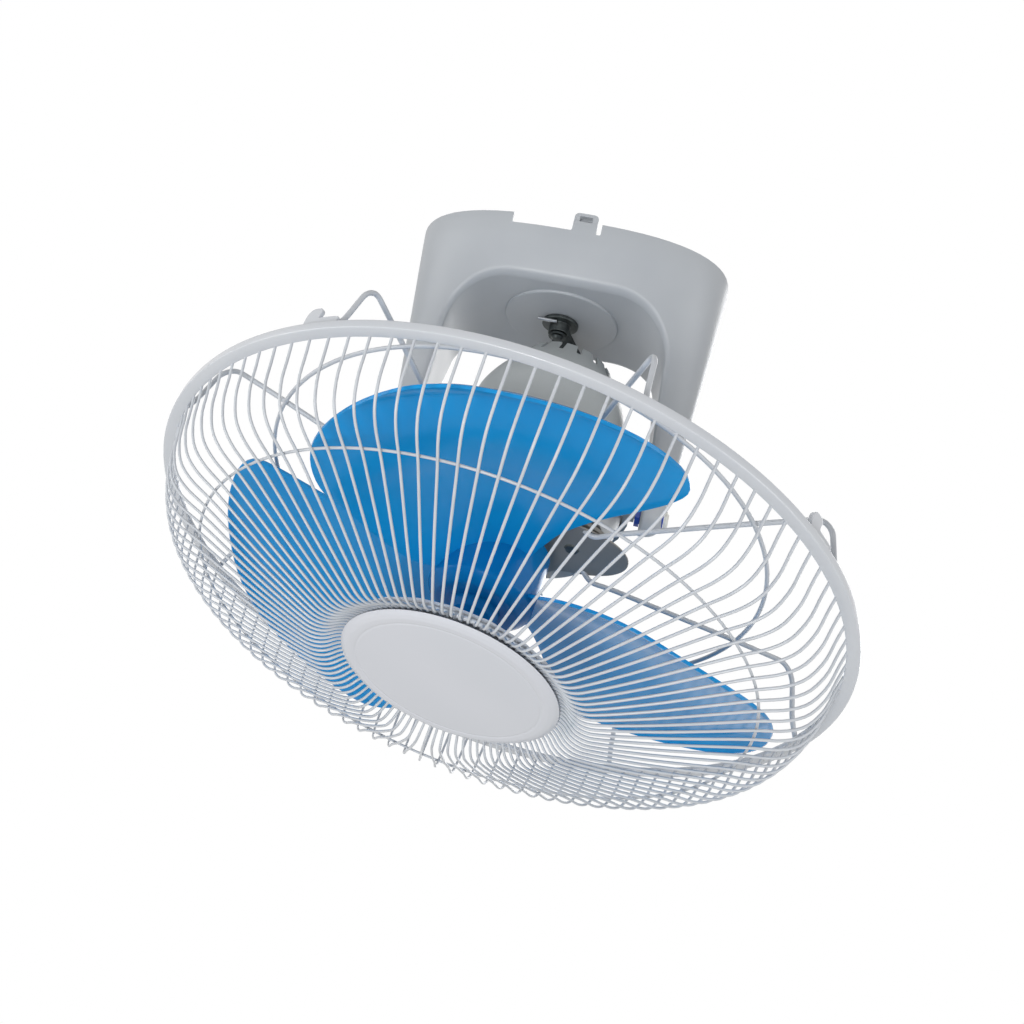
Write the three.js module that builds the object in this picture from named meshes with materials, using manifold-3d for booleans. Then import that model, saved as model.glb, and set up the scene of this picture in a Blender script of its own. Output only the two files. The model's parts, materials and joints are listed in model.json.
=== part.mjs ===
// Orbit fan for a ceiling: a yoke-shaped housing, a gimbal ring, and a fan head that a
// slow crank leads round a cone about the vertical.  Lengths in millimetres, +Z up.
// The origin is the middle of the face that lies against the ceiling.
import * as THREE from 'three';
import { mergeVertices } from 'three/addons/utils/BufferGeometryUtils.js';
import Module from 'manifold-3d';

const wasm = await Module();
wasm.setup();

// Driving dimensions of the whole fan
const hangDrop = 171.5;          // ceiling face to the gimbal centre
const orbitTilt = 13.3;          // degrees between the head's axis and the vertical
const orbitPhase = 65.6;         // degrees from +X to the side the head's rear leans to
const rimRadius = 215;           // outside of the guard's plastic rim
const rimDepth = 69;             // gimbal centre to the rim's plane, along the head's axis
const bladeRadius = 190.3;       // blade tip, for a sweep sold as 400
const runningGap = 0.35;         // between a journal and its bore
const seatGap = 0.3;             // between pieces that touch on the real fan
const domeShare = 0.7;           // of a head's radius, where its rounded top begins
const cutOverrun = 3;            // how far a cutter runs past what it cuts

const deg = Math.PI / 180;
const full = 2 * Math.PI;
const tiltSin = Math.sin(orbitTilt * deg);
const tiltCos = Math.cos(orbitTilt * deg);
const phaseSin = Math.sin(orbitPhase * deg);
const phaseCos = Math.cos(orbitPhase * deg);

// Materials, one for each kind of stuff
const stuff = (name, color, roughness, metalness, opacity = 1) => {
  const material = new THREE.MeshStandardMaterial({ name, color, roughness, metalness });
  material.opacity = opacity;
  material.transparent = opacity < 1;
  return material;
};
const greyAbs = stuff('grey ABS', 0xa9afb2, 0.45, 0);
const darkAbs = stuff('shaded ABS', 0x7d8386, 0.5, 0);
const whiteWire = stuff('coated wire', 0xd0d4dc, 0.35, 0.1);
const whitePlastic = stuff('white plastic', 0xced1d9, 0.35, 0);
const bluePlastic = stuff('clear blue plastic', 0x2480cc, 0.15, 0, 0.9);
const blueNylon = stuff('blue nylon', 0x1f3f9a, 0.45, 0);
const steel = stuff('zinc plated steel', 0xb4b6b8, 0.35, 1);
const darkSteel = stuff('oiled steel', 0x55585b, 0.4, 1);
const laminations = stuff('laminated steel', 0x6f7276, 0.5, 1);
const copper = stuff('enamelled copper', 0xa4582f, 0.4, 1);
const dieCast = stuff('cast aluminium', 0x9a9d9f, 0.5, 1);
const ivoryNylon = stuff('ivory nylon', 0xe4e2d8, 0.5, 0);

// Solids and how they are joined or cut
function toSolid(geometry) {
  let g = geometry.clone();
  g.deleteAttribute('normal');
  g.deleteAttribute('uv');
  g = mergeVertices(g, 1e-5);
  const solid = new wasm.Manifold(new wasm.Mesh({
    numProp: 3,
    vertProperties: new Float32Array(g.attributes.position.array),
    triVerts: new Uint32Array(g.index.array),
  }));
  return solid;
}
function toGeometry(solid) {
  const mesh = solid.getMesh();
  const g = new THREE.BufferGeometry();
  const count = mesh.vertProperties.length / mesh.numProp;
  const positions = new Float32Array(3 * count);
  for (let i = 0; i < count; i++) {
    for (let k = 0; k < 3; k++) positions[3 * i + k] = mesh.vertProperties[i * mesh.numProp + k];
  }
  g.setAttribute('position', new THREE.BufferAttribute(positions, 3));
  g.setIndex(new THREE.BufferAttribute(new Uint32Array(mesh.triVerts), 1));
  return g;
}
const joined = (...list) => toGeometry(list.map(toSolid).reduce((a, b) => a.add(b)));
const cut = (body, ...tools) => toGeometry(tools.map(toSolid).reduce((a, b) => a.subtract(b), toSolid(body)));

// A closed skin over a grid of rings; capped at both ends unless the rings come round again
function skin(rings, comesRound = false) {
  const n = rings[0].length;
  const positions = [];
  const index = [];
  rings.forEach((ring) => ring.forEach((p) => positions.push(p[0], p[1], p[2])));
  const last = comesRound ? rings.length : rings.length - 1;
  for (let i = 0; i < last; i++) {
    const a = i * n;
    const b = ((i + 1) % rings.length) * n;
    for (let j = 0; j < n; j++) {
      const k = (j + 1) % n;
      index.push(a + j, a + k, b + k, a + j, b + k, b + j);
    }
  }
  if (!comesRound) {
    [0, rings.length - 1].forEach((i) => {
      const c = positions.length / 3;
      const mid = [0, 1, 2].map((k) => rings[i].reduce((s, p) => s + p[k], 0) / n);
      positions.push(...mid);
      for (let j = 0; j < n; j++) {
        const k = (j + 1) % n;
        if (i === 0) index.push(c, i * n + k, i * n + j);
        else index.push(c, i * n + j, i * n + k);
      }
    });
  }
  const g = new THREE.BufferGeometry();
  g.setAttribute('position', new THREE.BufferAttribute(new Float32Array(positions), 3));
  g.setIndex(index);
  return signedVolume(g) < 0 ? flipped(g) : g;
}
function signedVolume(g) {
  const p = g.attributes.position;
  const at = (i) => new THREE.Vector3(p.getX(i), p.getY(i), p.getZ(i));
  let v = 0;
  for (let i = 0; i < g.index.count; i += 3) {
    v += at(g.index.getX(i)).dot(at(g.index.getX(i + 1)).cross(at(g.index.getX(i + 2))));
  }
  return v / 6;
}
function flipped(g) {
  const ix = Array.from(g.index.array);
  for (let i = 0; i < ix.length; i += 3) [ix[i + 1], ix[i + 2]] = [ix[i + 2], ix[i + 1]];
  g.setIndex(ix);
  return g;
}

// A body turned about Z from an outline of [radius, height] points that closes on itself
function turned(outline, facets, onAxis = true) {
  const points = outline.map(([r, z]) => new THREE.Vector2(r, z));
  if (!onAxis) points.push(points[0].clone());
  const g = new THREE.LatheGeometry(points, facets);
  g.rotateX(Math.PI / 2);
  const solid = mergeVertices(stripped(g), 1e-5);
  const kept = [];
  const ix = solid.index.array;
  for (let i = 0; i < ix.length; i += 3) {
    const [a, b, c] = [ix[i], ix[i + 1], ix[i + 2]];
    if (a !== b && b !== c && c !== a) kept.push(a, b, c);
  }
  solid.setIndex(kept);
  return signedVolume(solid) < 0 ? flipped(solid) : solid;
}
function stripped(g) {
  g.deleteAttribute('normal');
  g.deleteAttribute('uv');
  return g;
}
const rod = (radius, z0, z1, facets = 16) => turned([[0, z0], [radius, z0], [radius, z1], [0, z1]], facets);
const tube = (bore, radius, z0, z1, facets = 24) =>
  turned([[bore, z0], [radius, z0], [radius, z1], [bore, z1]], facets, false);
const block = (x0, x1, y0, y1, z0, z1) => {
  const g = new THREE.BoxGeometry(x1 - x0, y1 - y0, z1 - z0);
  g.translate((x0 + x1) / 2, (y0 + y1) / 2, (z0 + z1) / 2);
  return g;
};
// A flat plate with an outline in XY, between two heights
function plate(outline, z0, z1) {
  const shape = new THREE.Shape(outline.map(([x, y]) => new THREE.Vector2(x, y)));
  const g = new THREE.ExtrudeGeometry(shape, { depth: z1 - z0, bevelEnabled: false });
  g.translate(0, 0, z0);
  return g;
}
const moved = (g, x, y, z) => { g.translate(x, y, z); return g; };
const alongX = (g) => { g.rotateY(Math.PI / 2); return g; };
const alongY = (g) => { g.rotateX(-Math.PI / 2); return g; };
const turnedBy = (g, angle) => { g.rotateZ(angle); return g; };

// A round wire through points, mitred at each; closed wires come round to their start
function wire(points, radius, sides, comesRound = false) {
  const v = points.map((p) => new THREE.Vector3(...p));
  const n = v.length;
  const dir = (i) => {
    const a = comesRound ? v[(i + n - 1) % n] : v[Math.max(i - 1, 0)];
    const b = comesRound ? v[(i + 1) % n] : v[Math.min(i + 1, n - 1)];
    return b.clone().sub(a).normalize();
  };
  let up = new THREE.Vector3(0, 0, 1);
  if (Math.abs(dir(0).z) > Math.SQRT1_2) up = new THREE.Vector3(v[0].x, v[0].y, 0).normalize();
  const rings = v.map((p, i) => {
    const t = dir(i);
    const side = new THREE.Vector3().crossVectors(t, up).normalize();
    up = new THREE.Vector3().crossVectors(side, t).normalize();
    const ring = [];
    for (let j = 0; j < sides; j++) {
      const a = full * (j + 1 / 2) / sides;
      const q = p.clone().addScaledVector(side, radius * Math.cos(a)).addScaledVector(up, radius * Math.sin(a));
      ring.push([q.x, q.y, q.z]);
    }
    return ring;
  });
  return skin(rings, comesRound);
}

// Frames: the gimbal centre, the head's tilted frame and the crank's turned frame
const fan = new THREE.Group();
fan.name = 'orbit_fan';
const gimbal = new THREE.Group();
gimbal.position.z = -hangDrop;
fan.add(gimbal);

const ringTurn = Math.atan(-tiltSin / tiltCos * phaseSin);   // the ring's turn about X at rest
const ringFrame = new THREE.Group();
ringFrame.rotation.x = ringTurn;
gimbal.add(ringFrame);

const axis = new THREE.Vector3(tiltSin * phaseCos, tiltSin * phaseSin, tiltCos);
const pinLine = new THREE.Vector3(0, Math.cos(ringTurn), Math.sin(ringTurn));
const headFrame = new THREE.Group();
headFrame.quaternion.setFromRotationMatrix(
  new THREE.Matrix4().makeBasis(new THREE.Vector3().crossVectors(pinLine, axis), pinLine, axis));
gimbal.add(headFrame);

const crankFrame = new THREE.Group();
crankFrame.rotation.z = orbitPhase * deg;
gimbal.add(crankFrame);

function add(frame, name, geometry, material) {
  const mesh = new THREE.Mesh(geometry, material);
  mesh.name = name;
  frame.add(mesh);
  return mesh;
}

// Gimbal: the sphere that the motor keeps within, the ring round it, and the pins
const motorSphere = 64.3;
const gimbalGap = 0.7;           // between the sphere and the ring's bore
const ring = { outer: 68.6, height: 8.6, bossRadius: 5.4, bossLength: 6.4, facets: 26 };
const pin = { radius: 3.2, headRadius: 4.6, headHeight: 2.2, facets: 10 };
ring.bore = motorSphere + gimbalGap;
const ringBossEnd = ring.bore + ring.bossLength;

// Housing: a yoke of moulded ABS.  Its outline in XZ widens upward, and its depth grows
// from the arm ends to an oval top; heights are measured from the gimbal centre.
const yoke = {
  topGap: 6.5,            // ceiling to the open top edge
  roofDrop: 45.5,         // ceiling to the arch's roof
  topHalfWidth: 103,
  armHalfWidth: 89,       // at the gimbal centre
  topHalfDepth: 63,
  armHalfDepth: 20,
  endDrop: 13,            // arm end below the gimbal centre
  endCorner: 9,
  innerHalfWidth: 75,     // between the arms, at the gimbal centre
  leanFrom: 20,           // height from which the arms draw together
  innerLean: 0.0743,      // by which that narrows for each millimetre of height
  backNarrowing: 0.054,   // share by which the arch narrows from its middle to its back
  archCorner: 36,
  edgeRound: 7,           // soft edge round the arch
  ovalPower: 2.7,
  tipRound: 0.93,         // share of the depth that is rounded away at an arm's end
  wall: 2.8,
  roofWall: 3.4,
  pocketRise: 22,         // floor of the arms' hollow above the gimbal centre
  discRadius: 38,
  discDrop: 1.6,
  discChamfer: 0.8,
  discFacets: 30,
};
const roofZ = hangDrop - yoke.roofDrop;
const yokeTop = hangDrop - yoke.topGap;
const discZ = roofZ - yoke.discDrop;
// Depth of the yoke along its height: shares of the way from arm end to top, and of the gain
const depthShares = [[0, 0], [0.1, 0.045], [0.2, 0.1], [0.3, 0.16], [0.4, 0.22], [0.5, 0.31], [0.6, 0.43],
  [0.7, 0.58], [0.8, 0.76], [0.88, 0.89], [0.95, 0.97], [1, 1]];
function depthGain(share) {
  const s = Math.min(Math.max(share, 0), 1);
  const i = Math.min(depthShares.findIndex((d) => d[0] >= s) || 1, depthShares.length - 1);
  const [s0, g0] = depthShares[i - 1];
  const [s1, g1] = depthShares[i];
  return g0 + (g1 - g0) * (s - s0) / (s1 - s0);
}
// The yoke's half width and half depth at a height, drawn in by a wall
function yokeWidth(z, inset) {
  const z0 = -yoke.endDrop;
  const w = yoke.armHalfWidth + (yoke.topHalfWidth - yoke.armHalfWidth) * z / yokeTop;
  const c = Math.max(0, 1 - (z - z0) / yoke.endCorner);
  return w - inset - yoke.endCorner * (1 - Math.sqrt(Math.max(0, 1 - c * c)));
}
function yokeDepth(z, inset) {
  const d = yoke.armHalfDepth + (yoke.topHalfDepth - yoke.armHalfDepth) * depthGain(z / yokeTop);
  const c = Math.min(1, Math.max(0, -z / yoke.endDrop));
  return d * Math.sqrt(1 - yoke.tipRound * c * c) - inset;
}
function yokeHalfDepthAt(x, z, inset) {
  const share = Math.min(1, Math.abs(x) / yokeWidth(z, inset));
  return Math.max(yokeDepth(z, inset) * (1 - share ** yoke.ovalPower) ** (1 / yoke.ovalPower), 0);
}
// Stations along the yoke: the point on the arch's inside and the one outside it
function yokeStations(inset, floorZ, top) {
  const roof = roofZ + (inset ? yoke.roofWall : 0);
  const corner = yoke.archCorner + inset;
  const innerWidth = (z) => yoke.innerHalfWidth - yoke.innerLean * Math.max(0, z - yoke.leanFrom) + inset;
  const w = innerWidth(roofZ - yoke.archCorner);
  const half = [];
  const endSteps = inset ? 1 : 3;
  for (let i = 0; i < endSteps; i++) {
    const z = inset ? floorZ : floorZ + yoke.endDrop * (1 - Math.cos(i / endSteps * Math.PI / 2));
    half.push([[innerWidth(z), z], [yokeWidth(z, inset), z]]);
  }
  const armSteps = inset ? 2 : 4;
  const armStart = inset ? floorZ : 0;
  for (let i = inset ? 1 : 0; i <= armSteps; i++) {
    const z = armStart + (roof - corner - armStart) * i / armSteps;
    half.push([[innerWidth(z), z], [yokeWidth(z, inset), z]]);
  }
  const cornerSteps = inset ? 5 : 7;
  const topShare = 0.42;           // of the corner's arc, up to where the outside meets the top
  for (let i = 1; i <= cornerSteps; i++) {
    const a = i / cornerSteps * Math.PI / 2;
    const inner = [w - corner + corner * Math.cos(a), roof - corner + corner * Math.sin(a)];
    const share = i / cornerSteps;
    const zOut = roof - corner + (top - roof + corner) * Math.min(1, share / topShare);
    const xTop = yokeWidth(yokeTop, inset);
    const xOut = share < topShare ? yokeWidth(Math.min(zOut, yokeTop), inset)
      : xTop + (w - corner - xTop) * ((share - topShare) / (1 - topShare)) ** 2;
    half.push([inner, [xOut, zOut]]);
  }
  const roofSteps = 2;
  for (let i = 1; i <= roofSteps; i++) {
    const x = (w - corner) * (1 - i / roofSteps);
    half.push([[x, roof], [x, top]]);
  }
  const mirrored = half.slice(0, -1).reverse().map(([p, q]) => [[-p[0], p[1]], [-q[0], q[1]]]);
  return [...half, ...mirrored];
}
// One ring of the yoke's skin: front from the soft inner edge to the outside, then back
const roundShares = [0, 0.3, 1];
const acrossShares = [0.4, 0.75, 0.93, 1];
function yokeRing([inner, outer], inset) {
  const dx = outer[0] - inner[0];
  const dz = outer[1] - inner[1];
  const span = Math.hypot(dx, dz);
  const r = inset ? 0 : Math.min(yoke.edgeRound, span / 3);
  const half = [];
  const depthAt = (s) => {
    const x = inner[0] + dx * s;
    const z = inner[1] + dz * s;
    return yokeHalfDepthAt(x, Math.min(z, yokeTop), inset);
  };
  roundShares.forEach((share) => {
    const d = r * share;
    const drop = r - Math.sqrt(Math.max(0, r * r - (r - d) * (r - d)));
    half.push([d / span, Math.max(depthAt(d / span) - drop, yoke.wall / 4)]);
  });
  const s0 = r / span;
  acrossShares.forEach((share) => {
    const s = s0 + (1 - s0) * share;
    half.push([s, Math.max(depthAt(Math.min(s, 1 - 1e-3)), yoke.wall / 4)]);
  });
  if (inset) half.splice(0, 2);
  const narrowing = yoke.backNarrowing / yoke.topHalfDepth
    * Math.min(1, Math.max(0, inner[1]) / (roofZ - yoke.archCorner));
  const at = (s, y) => [inner[0] * (1 - narrowing * y) * (1 - s) + outer[0] * s, y, inner[1] + dz * s];
  return [...half.map(([s, d]) => at(s, -d)), ...half.slice().reverse().map(([s, d]) => at(s, d))];
}
const yokeSkin = (inset, floorZ, top) => skin(yokeStations(inset, floorZ, top).map((s) => yokeRing(s, inset)));

// Crank drive in the roof: a fixed spigot, and a crank whose slanted shaft leads the head
const spigot = { radius: 4.2, flangeRadius: 15, flangeHeight: 3, length: 9.8, facets: 16 };
const crank = { flangeRadius: 12, flangeHeight: 2.4, sleeveRadius: 6.8, sleeveLength: 9, plateHeight: 3.2,
  shaftRadius: 5, plateRound: 7.4, haunch: 7.2, shaftSink: 12, facets: 16 };
const spigotScrew = { radius: 2, headRadius: 4.2, headHeight: 1.6, sink: 7 };
const spigotWasher = { radius: 6, height: 1.3 };
const spigotEnd = discZ - spigot.length;
const sleeveTop = discZ - runningGap;
const sleeveEnd = sleeveTop - crank.sleeveLength;
const plateTop = sleeveEnd + crank.plateHeight;
const plateMid = plateTop - crank.plateHeight / 2;
crank.flangeEnd = sleeveTop - crank.flangeHeight;

// Clip tab and notches in the front of the open top edge
const clip = { width: 15.5, left: -1.2, rise: 6, drop: 13, depth: 4.6, slotWidth: 9.5, slotHeight: 2.8,
  slotDrop: 2, slotDepth: 2.6, gapWidth: 3, gapDrop: 10, notchLeft: -40, notchDrop: 5.4 };
const frontWallY = (x) => -yokeHalfDepthAt(x, yokeTop, 0);

// Hanger: a bent steel channel that carries the roof from the ceiling
const hanger = { halfWidth: 42, halfDepth: 30, sheet: 2.5, foot: 17, slotLength: 16, slotWidth: 6.5,
  slotPlace: 28, slotRound: 5 };
const footScrew = { radius: 2, bore: 2.4, headRadius: 4, headHeight: 2.2, length: 7.6, facets: 8 };
const bossHeight = 4;
const bossRadius = 5;
const footPlaces = [-1, 1].flatMap((sx) => [-1, 1].map((sy) =>
  [sx * (hanger.halfWidth + hanger.foot / 2), sy * hanger.halfDepth * 0.6]));
const roofTop = roofZ + yoke.roofWall;
const footZ = roofTop + bossHeight + seatGap;

function housingShell() {
  const outer = toSolid(yokeSkin(0, -yoke.endDrop, yokeTop));
  const hollow = toSolid(yokeSkin(yoke.wall, yoke.pocketRise, yokeTop + cutOverrun));
  const lip = yoke.discChamfer;
  const disc = toSolid(turned([[0, roofZ + yoke.roofWall / 2], [yoke.discRadius, roofZ + yoke.roofWall / 2],
    [yoke.discRadius, discZ + lip], [yoke.discRadius - lip, discZ], [0, discZ]], yoke.discFacets));
  let shell = outer.subtract(hollow).add(disc);
  // the clip stands on the front wall and rises past the edge
  const x0 = clip.left;
  const x1 = clip.left + clip.width;
  const yWall = Math.max(frontWallY(x0), frontWallY(x1));
  shell = shell.add(toSolid(block(x0, x1, yWall, yWall + clip.depth, yokeTop - clip.drop, yokeTop + clip.rise)));
  const slotX = (x0 + x1 - clip.slotWidth) / 2;
  const cuts = [
    block(slotX, slotX + clip.slotWidth, yWall - cutOverrun, yWall + clip.slotDepth,
      yokeTop + clip.rise - clip.slotDrop - clip.slotHeight, yokeTop + clip.rise - clip.slotDrop),
    block(clip.notchLeft, x0, -yoke.topHalfDepth - cutOverrun, -yoke.topHalfDepth / 2,
      yokeTop - clip.notchDrop, yokeTop + cutOverrun),
    block(x1, x1 + clip.gapWidth, -yoke.topHalfDepth - cutOverrun, -yoke.topHalfDepth / 2,
      yokeTop - clip.gapDrop, yokeTop + cutOverrun),
    rod(spigot.radius + seatGap, discZ - cutOverrun, roofTop + bossHeight, spigot.facets),
    alongX(rod(bush.radius + seatGap, -yoke.armHalfWidth - cutOverrun, yoke.armHalfWidth + cutOverrun, pin.facets)),
  ];
  footPlaces.forEach(([x, y]) => {
    const boss = moved(rod(bossRadius, roofTop - yoke.archCorner / 2, roofTop + bossHeight, 8), x, y, 0);
    shell = shell.add(toSolid(boss).intersect(outer));
    cuts.push(moved(rod(footScrew.radius + seatGap, roofTop + bossHeight - footScrew.length - seatGap,
      roofTop + bossHeight + cutOverrun, footScrew.facets), x, y, 0));
  });
  return toGeometry(cuts.map(toSolid).reduce((a, b) => a.subtract(b), shell));
}

// Pivot bushes in the arms, with the pin that carries the gimbal ring
const bush = { radius: 5.6, flangeRadius: 7.4, capRadius: 5.4, capHeight: 2.6 };
bush.flange = yoke.innerHalfWidth - seatGap - ringBossEnd - runningGap;
const armOutside = yoke.armHalfWidth;
const capSeat = armOutside + seatGap;
add(gimbal, 'housing_shell', housingShell(), greyAbs);
[[1, 'right'], [-1, 'left']].forEach(([side, word]) => {
  const aim = (g) => { alongX(g); if (side < 0) g.rotateZ(Math.PI); return g; };
  const pinStart = ring.bore + seatGap;
  const flangeEnd = yoke.innerHalfWidth - seatGap;
  add(gimbal, `pivot_bush_${word}`, aim(turned([[pin.radius + seatGap, flangeEnd - bush.flange],
    [bush.flangeRadius, flangeEnd - bush.flange], [bush.flangeRadius, flangeEnd], [bush.radius, flangeEnd],
    [bush.radius, armOutside], [pin.radius + seatGap, armOutside]], pin.facets, false)), blueNylon);
  add(gimbal, `pivot_pin_${word}`, aim(rod(pin.radius, pinStart, armOutside, pin.facets)), steel);
  add(gimbal, `pivot_cap_${word}`, aim(turned([[0, capSeat], [bush.capRadius, capSeat],
    [bush.capRadius, capSeat + bush.capHeight / 2], [bush.capRadius * domeShare, capSeat + bush.capHeight],
    [0, capSeat + bush.capHeight]], pin.facets)), ivoryNylon);
});

// The hanger, its screws and the spigot that it clamps to the roof
function hangerBracket() {
  const { halfWidth: w, sheet: t, foot, halfDepth: d } = hanger;
  const z1 = hangDrop;
  const z0 = footZ;
  const outline = [[-w - foot, z0], [-w, z0], [-w, z1 - t], [w, z1 - t], [w, z0], [w + foot, z0], [w + foot, z0 + t],
    [w + t, z0 + t], [w + t, z1], [-w - t, z1], [-w - t, z0 + t], [-w - foot, z0 + t]];
  const g = plate(outline, -d, d);
  g.rotateX(Math.PI / 2);
  const tools = footPlaces.map(([x, y]) =>
    moved(rod(footScrew.bore, z0 - cutOverrun, z0 + t + cutOverrun, 10), x, y, 0));
  [-1, 1].forEach((side) => {
    const x = side * hanger.slotPlace;
    const half = hanger.slotLength / 2 - hanger.slotWidth / 2;
    const slot = [];
    for (let i = 0; i <= hanger.slotRound; i++) {
      const a = Math.PI * i / hanger.slotRound;
      slot.push([x + hanger.slotWidth / 2 * Math.cos(a), half + hanger.slotWidth / 2 * Math.sin(a)]);
    }
    for (let i = 0; i <= hanger.slotRound; i++) {
      const a = Math.PI * (1 + i / hanger.slotRound);
      slot.push([x + hanger.slotWidth / 2 * Math.cos(a), -half + hanger.slotWidth / 2 * Math.sin(a)]);
    }
    tools.push(plate(slot, z1 - t - cutOverrun, z1 + cutOverrun));
  });
  return cut(g, ...tools);
}
add(gimbal, 'hanger_bracket', hangerBracket(), steel);
footPlaces.forEach(([x, y], i) => {
  const seat = footZ + hanger.sheet + seatGap;
  add(gimbal, `hanger_screw_${i + 1}`, moved(turned([[0, footZ - footScrew.length + seatGap],
    [footScrew.radius, footZ - footScrew.length + seatGap], [footScrew.radius, seat], [footScrew.headRadius, seat],
    [footScrew.headRadius * domeShare, seat + footScrew.headHeight], [0, seat + footScrew.headHeight]],
  footScrew.facets), x, y, 0), steel);
});
const flangeSeat = roofTop + seatGap;
add(gimbal, 'crank_spigot', cut(turned([[0, spigotEnd], [spigot.radius, spigotEnd], [spigot.radius, flangeSeat],
  [spigot.flangeRadius, flangeSeat], [spigot.flangeRadius, flangeSeat + spigot.flangeHeight],
  [0, flangeSeat + spigot.flangeHeight]], spigot.facets),
rod(spigotScrew.radius + seatGap, spigotEnd - cutOverrun, spigotEnd + spigotScrew.sink + seatGap, 10)), darkSteel);
const washerTop = spigotEnd - seatGap;
const screwSeat = washerTop - spigotWasher.height - seatGap;
add(gimbal, 'spigot_washer', tube(spigotScrew.radius + seatGap, spigotWasher.radius, washerTop - spigotWasher.height,
  washerTop, 12), steel);
add(gimbal, 'spigot_screw', turned([[0, screwSeat - spigotScrew.headHeight],
  [spigotScrew.headRadius * domeShare, screwSeat - spigotScrew.headHeight], [spigotScrew.headRadius, screwSeat],
  [spigotScrew.radius, screwSeat], [spigotScrew.radius, spigotEnd + spigotScrew.sink],
  [0, spigotEnd + spigotScrew.sink]], 10), steel);

// Terminal block for the supply, on the hanger's web
const terminal = { halfLength: 15, halfWidth: 7, height: 12, bore: 3.4, ways: 3, barrier: 3 };
{
  const top = hangDrop - hanger.sheet - seatGap;
  const body = block(-terminal.halfLength, terminal.halfLength, -terminal.halfWidth, terminal.halfWidth,
    top - terminal.height, top);
  const holes = [];
  for (let i = 0; i < terminal.ways; i++) {
    const x = (i - (terminal.ways - 1) / 2) * (2 * terminal.halfLength - terminal.barrier) / terminal.ways;
    holes.push(moved(alongY(rod(terminal.bore, -terminal.halfWidth - cutOverrun, terminal.halfWidth + cutOverrun, 8)),
      x, 0, top - terminal.height / 2));
  }
  add(gimbal, 'terminal_block', cut(body, ...holes), ivoryNylon);
}

// Crank: sleeve on the spigot, a waisted plate, and the shaft along the head's axis
const cover = { mouthZ: 101.2, mouthRadius: 31.2, wall: 2.4, notchCount: 18, notchDepth: 4.6, notchWidth: 3.2,
  notchPhase: 4, footShare: 1.6, facets: 24 };
const gearbox = { lidTop: 91, lidHeight: 4, lidRadius: 25.4, bossTop: 95.5, bossRadius: 10.5, caseRadius: 24,
  waistShare: 0.8, caseEnd: 24, screwPlace: 18.4, facets: 16 };
{
  const reach = plateMid * tiltSin / tiltCos;
  const outline = [];
  const steps = 7;
  for (let i = 0; i <= steps; i++) {
    const a = Math.PI / 2 + Math.PI * i / steps;
    outline.push([crank.haunch * Math.cos(a), crank.haunch * Math.sin(a)]);
  }
  for (let i = 0; i <= steps; i++) {
    const a = -Math.PI / 2 + Math.PI * i / steps;
    outline.push([reach + crank.plateRound * Math.cos(a), crank.plateRound * Math.sin(a)]);
  }
  const shaftEnd = gearbox.bossTop - crank.shaftSink;
  const shaft = rod(crank.shaftRadius, shaftEnd, plateMid / tiltCos, crank.facets);
  shaft.rotateY(orbitTilt * deg);
  const body = joined(plate(outline, plateTop - crank.plateHeight, plateTop),
    rod(crank.sleeveRadius, sleeveEnd, sleeveTop, crank.facets),
    rod(crank.flangeRadius, crank.flangeEnd, sleeveTop, crank.facets), shaft);
  add(crankFrame, 'crank', cut(body, rod(spigot.radius + runningGap, sleeveEnd - cutOverrun, sleeveTop + cutOverrun,
    spigot.facets)), darkSteel);
  // bright cross pin that locks the sleeve: it lies under the flange, past the side of the sleeve
  const cross = { radius: 1.2, start: 2, end: 14.5, side: 114.4 };
  const g = moved(alongX(rod(cross.radius, cross.start, cross.end, 12)),
    0, crank.sleeveRadius + cross.radius + seatGap, crank.flangeEnd - cross.radius - seatGap);
  add(crankFrame, 'crank_cross_pin', turnedBy(g, cross.side * deg), steel);
}

// Gimbal ring with bosses on the arm pins and screws on the line of the motor's pins
{
  const half = ring.height / 2;
  const band = toSolid(tube(ring.bore, ring.outer, -half, half, ring.facets));
  const parts = [band];
  [0, 1, 2, 3].forEach((k) => {
    const boss = alongX(rod(ring.bossRadius, ring.bore + ring.bossLength / 3, ringBossEnd, 10));
    parts.push(toSolid(turnedBy(boss, k * Math.PI / 2)));
  });
  let body = parts.reduce((a, b) => a.add(b));
  const bore = pin.radius + runningGap;
  const reach = ringBossEnd + cutOverrun;
  body = body.subtract(toSolid(alongX(rod(bore, -reach, reach, pin.facets))));
  body = body.subtract(toSolid(alongY(rod(pin.radius + seatGap, -reach, reach, pin.facets))));
  add(ringFrame, 'gimbal_ring', toGeometry(body), darkAbs);
  [[1, 'rear'], [-1, 'front']].forEach(([side, word]) => {
    const aim = (g) => { alongY(g); if (side < 0) g.rotateZ(Math.PI); return g; };
    const seat = ringBossEnd + seatGap;
    add(ringFrame, `ring_pin_${word}`, aim(turned([[0, ring.bore + seatGap], [pin.radius, ring.bore + seatGap],
      [pin.radius, seat], [pin.headRadius, seat], [pin.headRadius, seat + pin.headHeight / 2],
      [pin.headRadius * domeShare, seat + pin.headHeight], [0, seat + pin.headHeight]], pin.facets)), steel);
  });
}

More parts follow.
